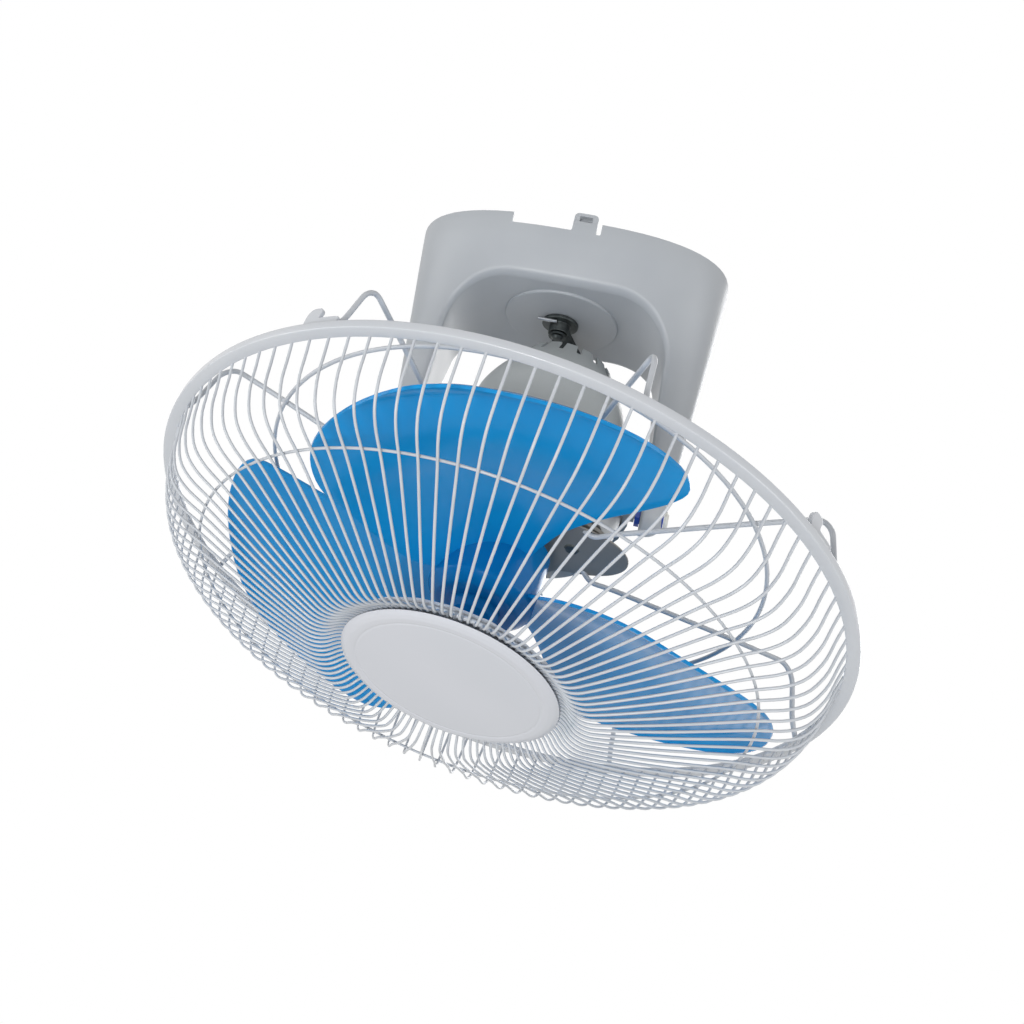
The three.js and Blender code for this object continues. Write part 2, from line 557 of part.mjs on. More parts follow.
// Motor: two cast shells within the sphere, its windings, the gearbox and the cone cover
const motor = { shellTop: 20.6, shellEnd: 24, wall: 2.6, bore: 29, coreHalf: 8, rotorOverhang: 1, coilShare: 0.62,
  facets: 20 };
const sphereRadius = (z) => Math.sqrt(motorSphere * motorSphere - z * z);
const shaft = { radius: 4, facets: 14 };
const bearing = { radius: 11, height: 7 };
{
  const steps = 3;
  const outside = (z0, z1) => Array.from({ length: steps + 1 }, (_, i) => {
    const z = z0 + (z1 - z0) * i / steps;
    return [sphereRadius(z) - seatGap, z];
  });
  const seatR = bearing.radius + seatGap;
  const inner = sphereRadius(motor.shellTop) - 2 * motor.wall;
  const shell = (side, length) => {
    const out = outside(seatGap / 2, length);
    const floor = length - motor.wall;
    const cupEnd = floor - bearing.height;
    const outline = [...out, [seatR, length], [seatR, cupEnd], [seatR + motor.wall, cupEnd],
      [seatR + motor.wall, floor], [inner, floor], [inner, seatGap / 2]];
    return turned(outline.map(([r, z]) => [r, side * z]), motor.facets, false);
  };
  add(headFrame, 'motor_front_shell', shell(-1, motor.shellEnd), dieCast);
  add(headFrame, 'motor_rear_shell', shell(1, motor.shellTop), dieCast);
  const stator = { radius: inner - seatGap, bore: motor.bore, half: motor.coreHalf };
  const rotor = { radius: stator.bore - runningGap, half: motor.coreHalf + motor.rotorOverhang };
  const coilMid = (stator.radius + stator.bore) / 2;
  const coilHalf = (stator.radius - stator.bore) / 2 * motor.coilShare;
  add(headFrame, 'stator_core', tube(stator.bore, stator.radius, -stator.half, stator.half, motor.facets), laminations);
  [[1, 'rear'], [-1, 'front']].forEach(([side, word]) => {
    const z0 = stator.half + seatGap;
    const z1 = z0 + coilHalf;
    add(headFrame, `winding_${word}`, turned([[coilMid - coilHalf, side * z0], [coilMid + coilHalf, side * z0],
      [coilMid + coilHalf / 2, side * z1], [coilMid - coilHalf / 2, side * z1]], 14, false), copper);
  });
  add(headFrame, 'rotor_core', tube(shaft.radius + seatGap, rotor.radius, -rotor.half, rotor.half, motor.facets),
    laminations);
  const bearingAt = (side, length) => {
    const z1 = length - motor.wall - seatGap;
    return [side * (z1 - bearing.height + 2 * seatGap), side * z1].sort((a, b) => a - b);
  };
  [[-1, 'front', motor.shellEnd], [1, 'rear', motor.shellTop]].forEach(([side, word, length]) => {
    const [z0, z1] = bearingAt(side, length);
    add(headFrame, `bearing_${word}`, tube(shaft.radius + seatGap, bearing.radius, z0, z1, 10), steel);
  });
}

// Gearbox behind the motor: a cast case, its lid with the boss for the crank shaft
{
  const top = gearbox.lidTop - gearbox.lidHeight - seatGap;
  const z0 = gearbox.caseEnd;
  const waist = gearbox.caseRadius * gearbox.waistShare;
  const caseBody = turned([[0, z0], [gearbox.caseRadius, z0], [gearbox.caseRadius, z0 + gearbox.lidHeight],
    [waist, z0 + 2 * gearbox.lidHeight], [waist, top - 3 * gearbox.lidHeight],
    [gearbox.lidRadius, top - 2 * gearbox.lidHeight], [gearbox.lidRadius, top], [0, top]], gearbox.facets);
  const wellEnd = gearbox.bossTop - crank.shaftSink - 2 * gearbox.lidHeight;
  const well = rod(crank.shaftRadius * 2, wellEnd, top + cutOverrun, 12);
  add(headFrame, 'gearbox_case', cut(caseBody, well), dieCast);
  const lid = joined(rod(gearbox.lidRadius, top + seatGap, gearbox.lidTop, gearbox.facets),
    rod(gearbox.bossRadius, gearbox.lidTop - gearbox.lidHeight / 2, gearbox.bossTop, 20));
  add(headFrame, 'gearbox_lid', cut(lid, rod(crank.shaftRadius + runningGap, top - cutOverrun,
    gearbox.bossTop + cutOverrun, crank.facets)), dieCast);
  [0, 1, 2].forEach((k) => {
    const a = full * (k + 1 / 4) / 3;
    const seat = gearbox.lidTop + seatGap;
    const g = turned([[0, seat], [footScrew.headRadius * domeShare, seat], [footScrew.headRadius * domeShare,
      seat + footScrew.headHeight / 2], [footScrew.headRadius / 2, seat + footScrew.headHeight],
    [0, seat + footScrew.headHeight]], 8);
    add(headFrame, `lid_screw_${k + 1}`,
      moved(g, gearbox.screwPlace * Math.cos(a), gearbox.screwPlace * Math.sin(a), 0), steel);
  });
}

// Cone cover: its foot sits on the rear shell, its mouth has a castellated lip
{
  const footZ0 = motor.shellTop + seatGap;
  const footEnd = footZ0 * cover.footShare;
  const out = [[sphereRadius(footZ0) - seatGap, footZ0], [sphereRadius(footEnd) - seatGap, footEnd]];
  // heights and radii between the foot and the mouth, as shares
  const coneShares = [[0.5, 0.64], [0.82, 0.26], [1, 0]];
  const h = cover.mouthZ - footZ0;
  coneShares.forEach(([s, k]) => out.push([cover.mouthRadius + (sphereRadius(footZ0) - cover.mouthRadius) * k,
    footZ0 + h * s]));
  const inside = out.slice().reverse().map(([r, z], i, list) => [r - cover.wall, i === list.length - 1
    ? z + cover.wall : z]);
  const clear = gearbox.caseRadius + 2 * seatGap;
  const landing = [[clear, footZ0 + cover.wall], [clear, footZ0]];
  let body = toSolid(turned([...out, ...inside, ...landing], cover.facets, false));
  for (let k = 0; k < cover.notchCount; k++) {
    const r = cover.mouthRadius;
    const notch = block(r - 2 * cover.wall, r + 2 * cover.wall, -cover.notchWidth / 2, cover.notchWidth / 2,
      cover.mouthZ - cover.notchDepth, cover.mouthZ + cutOverrun);
    body = body.subtract(toSolid(turnedBy(notch, full * k / cover.notchCount + cover.notchPhase * deg)));
  }
  add(headFrame, 'motor_cover', toGeometry(body), greyAbs);
}

// Mounting plate: a lobed plate under the motor, to which four wire legs are clamped
const mount = { height: 3, lobeX: 66.6, lobeY: 57, waist: 47, bore: 16, facets: 40, seat: motor.shellEnd + seatGap };
const mountEnd = mount.seat + mount.height;
{
  const outline = [];
  for (let i = 0; i < mount.facets; i++) {
    const a = full * i / mount.facets;
    const lobe = (1 + Math.cos(4 * a)) / 2;
    const reach = Math.abs(Math.cos(a)) > Math.SQRT1_2 ? mount.lobeX : mount.lobeY;
    const r = mount.waist + (reach - mount.waist) * lobe;
    outline.push([r * Math.cos(a), r * Math.sin(a)]);
  }
  add(headFrame, 'guard_mount', cut(plate(outline, -mountEnd, -mount.seat),
    rod(mount.bore, -mountEnd - cutOverrun, -mount.seat + cutOverrun, 12)), darkAbs);
}

// Rear guard: four wire legs bent like a V and the ring that they carry
const rear = { wireRadius: 1.6, hoopWire: 1.35, ringRadius: 157, legPhase: -116, pairStep: 90, legSpread: 46.8,
  apexRadius: 46, clampRadius: 50, dipRadius: 60, dipDrop: 9.4, shoulderRadius: 193, shoulderRise: 3.4,
  bendRadius: 200, bendDrop: 4, sideRadius: 205.5, sideDrop: 31, sides: 4, ringFacets: 40 };
rear.plane = -24.4;               // height of the legs at the ring, in the head frame
rear.noseShares = [1 / 4, 1 / 2, 3 / 4];
rear.apexZ = -(mountEnd + seatGap + rear.wireRadius);
rear.dipZ = rear.apexZ - rear.dipDrop;
const rimFlange = { land: 7.6, height: 3, skirt: 2.4, skirtRise: 2.6, facets: 51 };
rimFlange.inner = rimRadius - rimFlange.land;
rimFlange.skirtInside = (rimRadius - rimFlange.skirt) * Math.cos(Math.PI / rimFlange.facets) - seatGap;
rear.endRadius = rimFlange.skirtInside - rear.wireRadius;
rear.endZ = -rimDepth + rimFlange.height / 2 + seatGap + rear.wireRadius / 2;
{
  const polar = (r, a, z) => [r * Math.cos(a * deg), r * Math.sin(a * deg), z];
  const legOut = (a) => {
    const z = rear.plane;
    return [polar(rear.clampRadius + rear.wireRadius, a, rear.apexZ - rear.wireRadius / 4),
      polar(rear.dipRadius - rear.wireRadius, a, rear.dipZ + rear.wireRadius),
      polar(rear.dipRadius + rear.wireRadius, a, rear.dipZ), polar(rear.ringRadius, a, z),
      polar(rear.shoulderRadius, a, z + rear.shoulderRise), polar(rear.bendRadius, a, z - rear.bendDrop),
      polar(rear.sideRadius, a, z - rear.sideDrop), polar(rear.endRadius, a, rear.endZ)];
  };
  [0, 1, 2, 3].forEach((k) => {
    const a = rear.legPhase + k * rear.pairStep;
    const b = a + rear.legSpread;
    const nose = rear.noseShares.map((s) => polar(rear.apexRadius, a + (b - a) * s, rear.apexZ));
    add(headFrame, `rear_leg_${k + 1}`,
      wire([...legOut(a).reverse(), ...nose, ...legOut(b)], rear.wireRadius, rear.sides), whiteWire);
  });
  const hoop = [];
  const hoopZ = rear.plane - rear.wireRadius - rear.hoopWire - seatGap;
  for (let i = 0; i < rear.ringFacets; i++) {
    hoop.push(polar(rear.ringRadius, 360 * i / rear.ringFacets, hoopZ));
  }
  add(headFrame, 'rear_hoop', wire(hoop, rear.hoopWire, rear.sides, true), whiteWire);
  // screws with wide heads that hold each leg's nose to the mounting plate
  const hold = { radius: 2, headRadius: 6, headHeight: 2.4 };
  [0, 1, 2, 3].forEach((k) => {
    const a = (rear.legPhase + k * rear.pairStep + rear.legSpread / 2) * deg;
    const seat = rear.apexZ - rear.wireRadius - seatGap;
    const g = turned([[0, seat - hold.headHeight], [hold.headRadius * domeShare, seat - hold.headHeight],
      [hold.headRadius, seat], [hold.radius, seat], [hold.radius, -mountEnd - seatGap], [0, -mountEnd - seatGap]], 8);
    const r = rear.apexRadius - rear.wireRadius - hold.radius - seatGap;
    add(headFrame, `leg_screw_${k + 1}`, moved(g, r * Math.cos(a), r * Math.sin(a), 0), steel);
  });
}

// Rim: a flat plastic ring with a short skirt, and two snap hooks behind it
{
  const z = -rimDepth;
  const half = rimFlange.height / 2;
  const rim = turned([[rimFlange.inner, z - half], [rimRadius, z - half], [rimRadius, z + half + rimFlange.skirtRise],
    [rimRadius - rimFlange.skirt, z + half + rimFlange.skirtRise], [rimRadius - rimFlange.skirt, z + half],
    [rimFlange.inner, z + half]], rimFlange.facets, false);
  add(headFrame, 'guard_rim', rim, whitePlastic);
  const hook = { reach: 12, height: 16.5, places: [-119.7, -36] };
  // side view of a hook: way along the rim and rise over its back, as shares of reach and height
  const hookShares = [[0.68, 0], [0.68, 0.36], [0.64, 0.53], [0.55, 0.78], [0.34, 0.95], [0.09, 1], [-0.18, 0.99],
    [-0.24, 0.9], [-0.13, 0.78], [-0.2, 0.67], [-0.86, 0.67], [-0.86, 0]];
  hook.places.forEach((place, i) => {
    const seat = z + half + seatGap;
    const outline = hookShares.map(([s, t]) => [s * hook.reach, t * hook.height]);
    const outside = Math.sqrt(rimFlange.skirtInside ** 2 - hook.reach ** 2);
    const seatMid = (rimFlange.inner + outside) / 2;
    const g = plate(outline, seatMid - outside, outside - seatMid);
    g.rotateX(Math.PI / 2);
    add(headFrame, `rim_hook_${i + 1}`, turnedBy(moved(g, 0, seatMid, seat), place * deg - full / 4), whitePlastic);
  });
}

// Front guard: wires that run from the rim over the bowl to a hub ring under the badge, in six sectors.
// A sector is one mesh: at each wire the hub ring has a three-cornered place from which the wire grows.
const front = { count: 102, sectors: 6, wireRadius: 0.85, hubOuter: 67, hubInner: 60, hubHeight: 2.5, dip: 2.2,
  midRadius: 169.5, midFacets: 34 };
const badge = { radius: 66, face: 74, height: 4.2, bevel: 5.5, step: 0.35, stepShare: 0.85, backShare: 0.9,
  edgeShare: 0.45, roundShare: 0.3, facets: 34 };
// the bowl's profile: radius as a share of its radius at the rim, way to the front as a share of the badge's
const bowlShares = [[1, -0.016], [0.987, 0.351], [0.918, 0.565], [0.3935, 1.03]];
front.rimRadius = rimFlange.inner * Math.cos(Math.PI / rimFlange.facets) - front.wireRadius - seatGap;
const bowl = bowlShares.map(([r, f]) => [r * front.rimRadius, f * badge.face]);
front.hubPlane = badge.face - badge.height - seatGap - front.hubHeight / 2 - front.dip;
{
  const path = bowl.slice().reverse().map(([r, f]) => [r, -rimDepth - f]);
  const zTop = -rimDepth - front.hubPlane + front.hubHeight / 2;
  const zEnd = zTop - front.hubHeight;
  const spread = Math.asin(front.wireRadius / front.hubOuter);
  const perSector = front.count / front.sectors;
  const guardSector = (first) => {
    const positions = [];
    const index = [];
    const push = (r, a, z) => {
      positions.push(r * Math.cos(a), r * Math.sin(a), z);
      return positions.length / 3 - 1;
    };
    const place = (mid, halfWidth) => [push(front.hubInner, mid, (zTop + zEnd) / 2),
      push(front.hubOuter, mid - halfWidth, zTop), push(front.hubOuter, mid + halfWidth, zTop),
      push(front.hubOuter, mid, zEnd)];
    const angles = Array.from({ length: perSector }, (unused, k) => full * (first + k) / front.count);
    const endTurn = full / front.count / 2 - seatGap / front.hubInner;
    const places = [place(angles[0] - endTurn, 0), ...angles.map((mid) => place(mid, spread)),
      place(angles[perSector - 1] + endTurn, 0)];
    places.slice(0, -1).forEach(([inner, , right, low], k) => {
      const [innerNext, leftNext, , lowNext] = places[k + 1];
      index.push(inner, leftNext, right, inner, innerNext, leftNext);
      index.push(inner, low, lowNext, inner, lowNext, innerNext);
      index.push(right, leftNext, lowNext, right, lowNext, low);
    });
    const start = places[0];
    const end = places[perSector + 1];
    index.push(start[0], start[2], start[3], end[1], end[0], end[3]);
    angles.forEach((mid, k) => {
      const [inner, left, right, low] = places[k + 1];
      index.push(inner, right, left);
      let last = [left, right, low];
      path.forEach(([r, z], i) => {
        const before = i ? path[i - 1] : [front.hubOuter, -rimDepth - front.hubPlane];
        const after = path[Math.min(i + 1, path.length - 1)];
        const t = new THREE.Vector2(after[0] - before[0], after[1] - before[1]).normalize();
        const section = [[-1, 1], [1, 1], [0, -1]].map(([side, over]) => {
          const rr = r - t.y * front.wireRadius * over;
          const across = side * front.wireRadius;
          return push(Math.hypot(rr, across), mid + Math.atan(across / rr), z + t.x * front.wireRadius * over);
        });
        for (let j = 0; j < 3; j++) {
          const m = (j + 1) % 3;
          index.push(last[j], last[m], section[m], last[j], section[m], section[j]);
        }
        last = section;
      });
      index.push(last[0], last[1], last[2]);
    });
    const g = new THREE.BufferGeometry();
    g.setAttribute('position', new THREE.BufferAttribute(new Float32Array(positions), 3));
    g.setIndex(index);
    return signedVolume(g) < 0 ? flipped(g) : g;
  };
  for (let k = 0; k < front.sectors; k++) {
    add(headFrame, `front_guard_${k + 1}`, guardSector(k * perSector), whiteWire);
  }

  const hoop = [];
  const bowlShare = (front.midRadius - bowl[3][0]) / (bowl[2][0] - bowl[3][0]);
  const midFront = bowl[3][1] + (bowl[2][1] - bowl[3][1]) * bowlShare;
  const z = -rimDepth - midFront + front.wireRadius * 2 + seatGap;
  for (let i = 0; i < front.midFacets; i++) {
    const a = full * i / front.midFacets;
    const r = front.midRadius - front.wireRadius;
    hoop.push([r * Math.cos(a), r * Math.sin(a), z]);
  }
  add(headFrame, 'front_guard_hoop', wire(hoop, front.wireRadius, 3, true), whiteWire);
}

// Badge: a bare domed disc in front of the hub ring, and the clamp disc behind it
{
  const z = -rimDepth - badge.face;
  const b = badge;
  const edge = b.bevel * b.edgeShare;
  const inner = b.radius * b.stepShare;
  add(headFrame, 'guard_badge', turned([[0, z + b.height], [b.radius * b.backShare, z + b.height],
    [b.radius, z + edge + b.step], [b.radius - b.bevel * b.roundShare, z + edge / 2],
    [b.radius - b.bevel, z], [inner, z - b.step / 2], [inner - b.step, z - b.step * 3 / 2], [0, z - b.step * 3 / 2]],
  b.facets), whitePlastic);
  const clampTop = -rimDepth - front.hubPlane + front.hubHeight / 2 + seatGap;
  const neck = front.hubInner - 2 * seatGap;
  add(headFrame, 'badge_clamp', turned([[0, z + b.height + seatGap], [neck, z + b.height + seatGap],
    [neck, clampTop], [front.hubOuter - seatGap, clampTop],
    [front.hubOuter - seatGap, clampTop + front.hubHeight / 2], [front.hubInner / 2, clampTop + front.hubHeight],
    [0, clampTop + front.hubHeight]], 20), whitePlastic);
}

// Rotor: the shaft, the moulded blades on their hub, and the nut
const hub = { radius: 38, rear: -45, face: -86, wall: 2.6, boss: 10, round: 7, roundShare: 0.3, facets: 20 };
const nut = { radius: 15, height: 13, boreShare: 0.6, domeShare: 0.85, tipShare: 0.5, facets: 16 };
{
  const z1 = motor.shellTop - motor.wall;
  const z0 = hub.face - nut.height * nut.boreShare;
  add(headFrame, 'motor_shaft', rod(shaft.radius, z0, z1, shaft.facets), steel);
}
// The blade's outline: at each radius, how far its two edges lie from the middle line, as shares of a right
// angle, and how high each edge lies, as shares of the rise
const bladeShares = [   // radius, left edge, right edge, left height, right height
  [0.18, -0.29, 0.34, 0.27, 0.42], [0.26, -0.41, 0.35, 0.18, 0.43], [0.39, -0.49, 0.43, -0.04, 0.44],
  [0.55, -0.486, 0.481, -0.32, 0.45], [0.71, -0.415, 0.511, -0.48, 0.48], [0.84, -0.338, 0.504, -0.49, 0.52],
  [0.92, -0.25, 0.363, -0.37, 0.42], [0.972, -0.141, 0.171, -0.21, 0.16], [1, -0.02, 0.01, -0.07, -0.06]];
const blade = { thickness: 2, edgeShare: 0.5, rise: 48, middle: -79, crown: 6, across: 4, count: 3, phase: -95 };
function bladeBody(turn) {
  const rings = bladeShares.map(([rs, left, right, leftHeight, rightHeight]) => {
    const r = bladeRadius * rs;
    const top = [];
    const low = [];
    for (let i = 0; i <= blade.across; i++) {
      const u = i / blade.across;
      const a = (blade.phase + turn) * deg + full / 4 * (left + (right - left) * u);
      const crown = blade.crown * 4 * u * (1 - u);
      const z = blade.middle + blade.rise * (leftHeight + (rightHeight - leftHeight) * u) + crown;
      const t = blade.thickness / 2 * (u === 0 || u === 1 ? blade.edgeShare : 1);
      top.push([r * Math.cos(a), r * Math.sin(a), z + t]);
      low.push([r * Math.cos(a), r * Math.sin(a), z - t]);
    }
    return [...top, ...low.reverse()];
  });
  return skin(rings);
}
{
  const h = hub;
  const bore = shaft.radius + seatGap;
  const soft = h.round * h.roundShare;
  const cup = turned([[h.radius, h.rear], [h.radius, h.face + h.round], [h.radius - soft, h.face + soft],
    [h.radius - h.round, h.face], [bore, h.face], [bore, h.rear + h.wall], [h.boss, h.rear + h.wall],
    [h.boss, h.face + h.wall * 2], [h.radius - h.round, h.face + h.wall * 2], [h.radius - h.wall, h.face + h.round],
    [h.radius - h.wall, h.rear]], h.facets, false);
  let body = toSolid(cup);
  const core = toSolid(rod(h.radius - h.wall / 2, h.face - cutOverrun, h.rear + cutOverrun, h.facets));
  for (let k = 0; k < blade.count; k++) {
    body = body.add(toSolid(bladeBody(360 * k / blade.count)).subtract(core));
  }
  add(headFrame, 'blades', toGeometry(body), bluePlastic);
  const seat = h.face - seatGap;
  add(headFrame, 'blade_nut', cut(turned([[0, seat], [nut.radius, seat], [nut.radius, seat - nut.height / 2],
    [nut.radius * nut.domeShare, seat - nut.height * nut.domeShare], [nut.radius * nut.tipShare, seat - nut.height],
    [0, seat - nut.height]], nut.facets), rod(shaft.radius + seatGap, hub.face - nut.height * nut.boreShare - seatGap,
    seat + cutOverrun, shaft.facets)), bluePlastic);
}

export default fan;
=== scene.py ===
import bisect
import json
import math
import bmesh
import bpy
from mathutils import Matrix, Vector


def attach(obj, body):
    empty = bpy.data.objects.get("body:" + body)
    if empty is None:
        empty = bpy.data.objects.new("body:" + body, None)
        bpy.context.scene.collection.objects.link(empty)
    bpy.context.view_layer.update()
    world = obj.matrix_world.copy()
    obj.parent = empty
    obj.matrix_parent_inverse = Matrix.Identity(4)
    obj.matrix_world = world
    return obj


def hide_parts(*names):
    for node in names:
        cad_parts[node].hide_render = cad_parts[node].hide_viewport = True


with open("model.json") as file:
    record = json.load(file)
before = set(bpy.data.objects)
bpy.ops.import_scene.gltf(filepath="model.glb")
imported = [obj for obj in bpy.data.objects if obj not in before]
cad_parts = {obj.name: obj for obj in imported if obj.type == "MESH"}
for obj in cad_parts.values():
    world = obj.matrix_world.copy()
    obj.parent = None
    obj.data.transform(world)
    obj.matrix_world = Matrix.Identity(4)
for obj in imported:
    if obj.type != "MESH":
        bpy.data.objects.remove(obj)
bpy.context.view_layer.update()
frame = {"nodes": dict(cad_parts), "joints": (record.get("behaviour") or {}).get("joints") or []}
nodes = frame["nodes"]
mm = 0.001
print("frame loaded with", len(nodes), "nodes")

# The camera stands where the photographer stood: below the fan and in front, a little to one side
camera = {
    "place": (78.2, -876.4, -545.5),   # mm, in the fan's own frame
    "azimuth": 14.64,                  # degrees
    "elevation": -26.65,
    "roll": 17.62,
    "focalPixels": 1498,
    "imagePixels": 1024,
    "centrePixel": (326.7, 336.9),     # where the optical axis meets the picture
}


def addCamera(c):
    azimuth = math.radians(c["azimuth"])
    elevation = math.radians(c["elevation"])
    roll = math.radians(c["roll"])
    forward = Vector((-math.sin(azimuth) * math.cos(elevation), math.cos(azimuth) * math.cos(elevation),
                      -math.sin(elevation)))
    right = forward.cross(Vector((0, 0, 1))).normalized()
    up = right.cross(forward)
    tiltedRight = math.cos(roll) * right + math.sin(roll) * up
    tiltedUp = math.cos(roll) * up - math.sin(roll) * right
    lens = bpy.data.cameras.new("camera")
    lens.sensor_width = 36
    lens.lens = c["focalPixels"] / c["imagePixels"] * lens.sensor_width
    lens.shift_x = 0.5 - c["centrePixel"][0] / c["imagePixels"]
    lens.shift_y = c["centrePixel"][1] / c["imagePixels"] - 0.5
    lens.clip_start = 0.02
    holder = bpy.data.objects.new("camera", lens)
    bpy.context.scene.collection.objects.link(holder)
    holder.matrix_world = (Matrix.Translation(Vector(c["place"]) * mm)
                           @ Matrix((tiltedRight, tiltedUp, -forward)).transposed().to_4x4())
    bpy.context.scene.camera = holder


addCamera(camera)
print("camera placed")

# Frames of the moving bodies at rest, in millimetres from the gimbal's centre
jointNamed = {joint["name"]: joint for joint in frame["joints"]}
gimbalCentre = Vector(jointNamed["spin"]["pos_m"])
headAxis = Vector(jointNamed["spin"]["axis"]).normalized()
pinLine = headAxis.cross(Vector((1, 0, 0))).normalized()


def bodyFrame(across, along, up):
    turned = Matrix((across, along, up)).transposed().to_4x4()
    return Matrix.Translation(gimbalCentre) @ turned @ Matrix.Scale(mm, 4)


yokeFrame = bodyFrame(Vector((1, 0, 0)), Vector((0, 1, 0)), Vector((0, 0, 1)))
headFrame = bodyFrame(pinLine.cross(headAxis), pinLine, headAxis)


# Nodes and colours of the materials
def linear(hexColour):
    channels = [int(hexColour[i:i + 2], 16) / 255 for i in (1, 3, 5)]
    return tuple(c / 12.92 if c <= 0.04045 else ((c + 0.055) / 1.055) ** 2.4 for c in channels) + (1,)


def addNode(tree, kind, settings=None, links=None):
    node = tree.nodes.new(kind)
    for key, value in (settings or {}).items():
        if isinstance(key, int) or key in node.inputs:
            node.inputs[key].default_value = value
        else:
            setattr(node, key, value)
    for key, source in (links or {}).items():
        tree.links.new(source, node.inputs[key])
    return node


def startMaterial(name):
    material = bpy.data.materials.new(name)
    material.use_nodes = True
    tree = material.node_tree
    tree.nodes.clear()
    shader = addNode(tree, "ShaderNodeBsdfPrincipled")
    addNode(tree, "ShaderNodeOutputMaterial", links={"Surface": shader.outputs[0]})
    return material, tree, shader


def perMillimetre(size):
    return 1 / (size * mm)


def noise(tree, place, size, detail, swirl=0):
    settings = {"Scale": perMillimetre(size), "Detail": detail, "Distortion": swirl}
    return addNode(tree, "ShaderNodeTexNoise", settings, {"Vector": place}).outputs["Fac"]


# What all finishes share
shared = {
    "darkTo": 0.3, "paleFrom": 0.7,    # of the noise between the two colours
    "roughDetail": 4, "grainDetail": 2, "streakDetail": 3,
    "waveRadians": 20,                 # that a wave texture runs through in one unit of its scale
}


def mottled(tree, place, pale, dark, stuff):
    patches = noise(tree, place, stuff["patch"], stuff["detail"])
    ramp = addNode(tree, "ShaderNodeValToRGB", links={"Fac": patches})
    low, high = ramp.color_ramp.elements
    low.position = shared["darkTo"]
    low.color = linear(dark)
    high.position = shared["paleFrom"]
    high.color = linear(pale)
    return ramp.outputs["Color"]


def unevenRoughness(tree, place, stuff):
    low, high = stuff["roughness"]
    spread = addNode(tree, "ShaderNodeMapRange", {"To Min": low, "To Max": high},
                     {"Value": noise(tree, place, stuff["roughPatch"], shared["roughDetail"])})
    return spread.outputs["Result"]


def grainHeight(tree, place, stuff):
    return noise(tree, place, stuff["grain"], shared["grainDetail"])


def streakHeight(tree, place, stuff):
    drawnOut = addNode(tree, "ShaderNodeMapping", {"Scale": stuff["stretch"]}, {"Vector": place})
    return noise(tree, drawnOut.outputs["Vector"], stuff["grain"], shared["streakDetail"], stuff["swirl"])


def windingHeight(tree, place, stuff):
    settings = {"Scale": perMillimetre(stuff["grain"]) / shared["waveRadians"], "bands_direction": "Z"}
    return addNode(tree, "ShaderNodeTexWave", settings, {"Vector": place}).outputs["Fac"]


def finish(name, pale, dark, stuff, height=grainHeight):
    material, tree, shader = startMaterial(name)
    place = addNode(tree, "ShaderNodeTexCoord").outputs["Object"]
    bump = addNode(tree, "ShaderNodeBump", {"Strength": stuff["strength"], "Distance": stuff["depth"] * mm},
                   {"Height": height(tree, place, stuff)})
    tree.links.new(bump.outputs["Normal"], shader.inputs["Normal"])
    tree.links.new(mottled(tree, place, pale, dark, stuff), shader.inputs["Base Color"])
    tree.links.new(unevenRoughness(tree, place, stuff), shader.inputs["Roughness"])
    for socket, value in stuff["inputs"].items():
        shader.inputs[socket].default_value = value
    return material


# The stuffs. Patches, grain and depth are in millimetres, roughness is [least, most]

# ABS, injection moulded in a spark-eroded mould: an even satin with a fine grain. The real grain is 0.3 mm,
# drawn coarser so that it shows
mouldedAbs = {"patch": 55, "detail": 3, "roughness": (0.36, 0.46), "roughPatch": 55 / 3, "grain": 0.9,
              "strength": 0.12, "depth": 0.05, "inputs": {"IOR": 1.53}}
# Nylon, moulded: as ABS, and more matt, which looks waxy
nylon = {**mouldedAbs, "roughness": (0.4, 0.5)}
# Polystyrene, moulded in a polished mould: glossy, with faint flow marks
polishedStyrene = {"patch": 90, "detail": 1, "roughness": (0.2, 0.3), "roughPatch": 40, "grain": 9,
                   "strength": 0.05, "depth": 0.05,
                   "inputs": {"IOR": 1.59, "Coat Weight": 0.25, "Coat Roughness": 0.08}}
# Steel wire under polyester powder coat: pale, with the coat's orange peel
powderCoat = {"patch": 14, "detail": 3, "roughness": (0.28, 0.4), "roughPatch": 6, "grain": 1.6,
              "strength": 0.06, "depth": 0.03, "inputs": {"IOR": 1.5}}


# Styrene acrylonitrile tinted blue, moulded clear: glossy, lets some light through, with long flow marks
def tintedSan(through, sheen):
    return {"patch": 70, "detail": 2, "roughness": (0.12, 0.22), "roughPatch": 30, "grain": 16, "swirl": 0.6,
            "stretch": (1, 1, 0.25), "strength": 0.16, "depth": 0.8,
            "inputs": {"IOR": 1.57, "Transmission Weight": through, "Specular IOR Level": sheen}}


def metal(least, most, patch, grain=1.2, strength=0.08):
    return {"patch": patch, "detail": 3, "roughness": (least, most), "roughPatch": patch, "grain": grain,
            "strength": strength, "depth": 0.06, "inputs": {"Metallic": 1}}


# Zinc on steel: bright, with the faint patches of the plating
zincPlating = metal(0.24, 0.42, 9)
# Steel under oil: dark, with dull and wet spots
oil = metal(0.35, 0.55, 6)
# Aluminium, die cast: dull and even, with the coarse skin of the die
castSkin = metal(0.45, 0.55, 12, 1.4, 0.12)
# Steel sheets in a stack: dark, and broken up finely
sheetStack = metal(0.4, 0.55, 3)
# Copper wire under enamel: warm and shiny, ribbed by its turns
winding = {"patch": 6, "detail": 3, "roughness": (0.38, 0.38), "roughPatch": 6, "grain": 0.6, "strength": 0.5,
           "depth": 0.2, "inputs": {"Metallic": 1}}

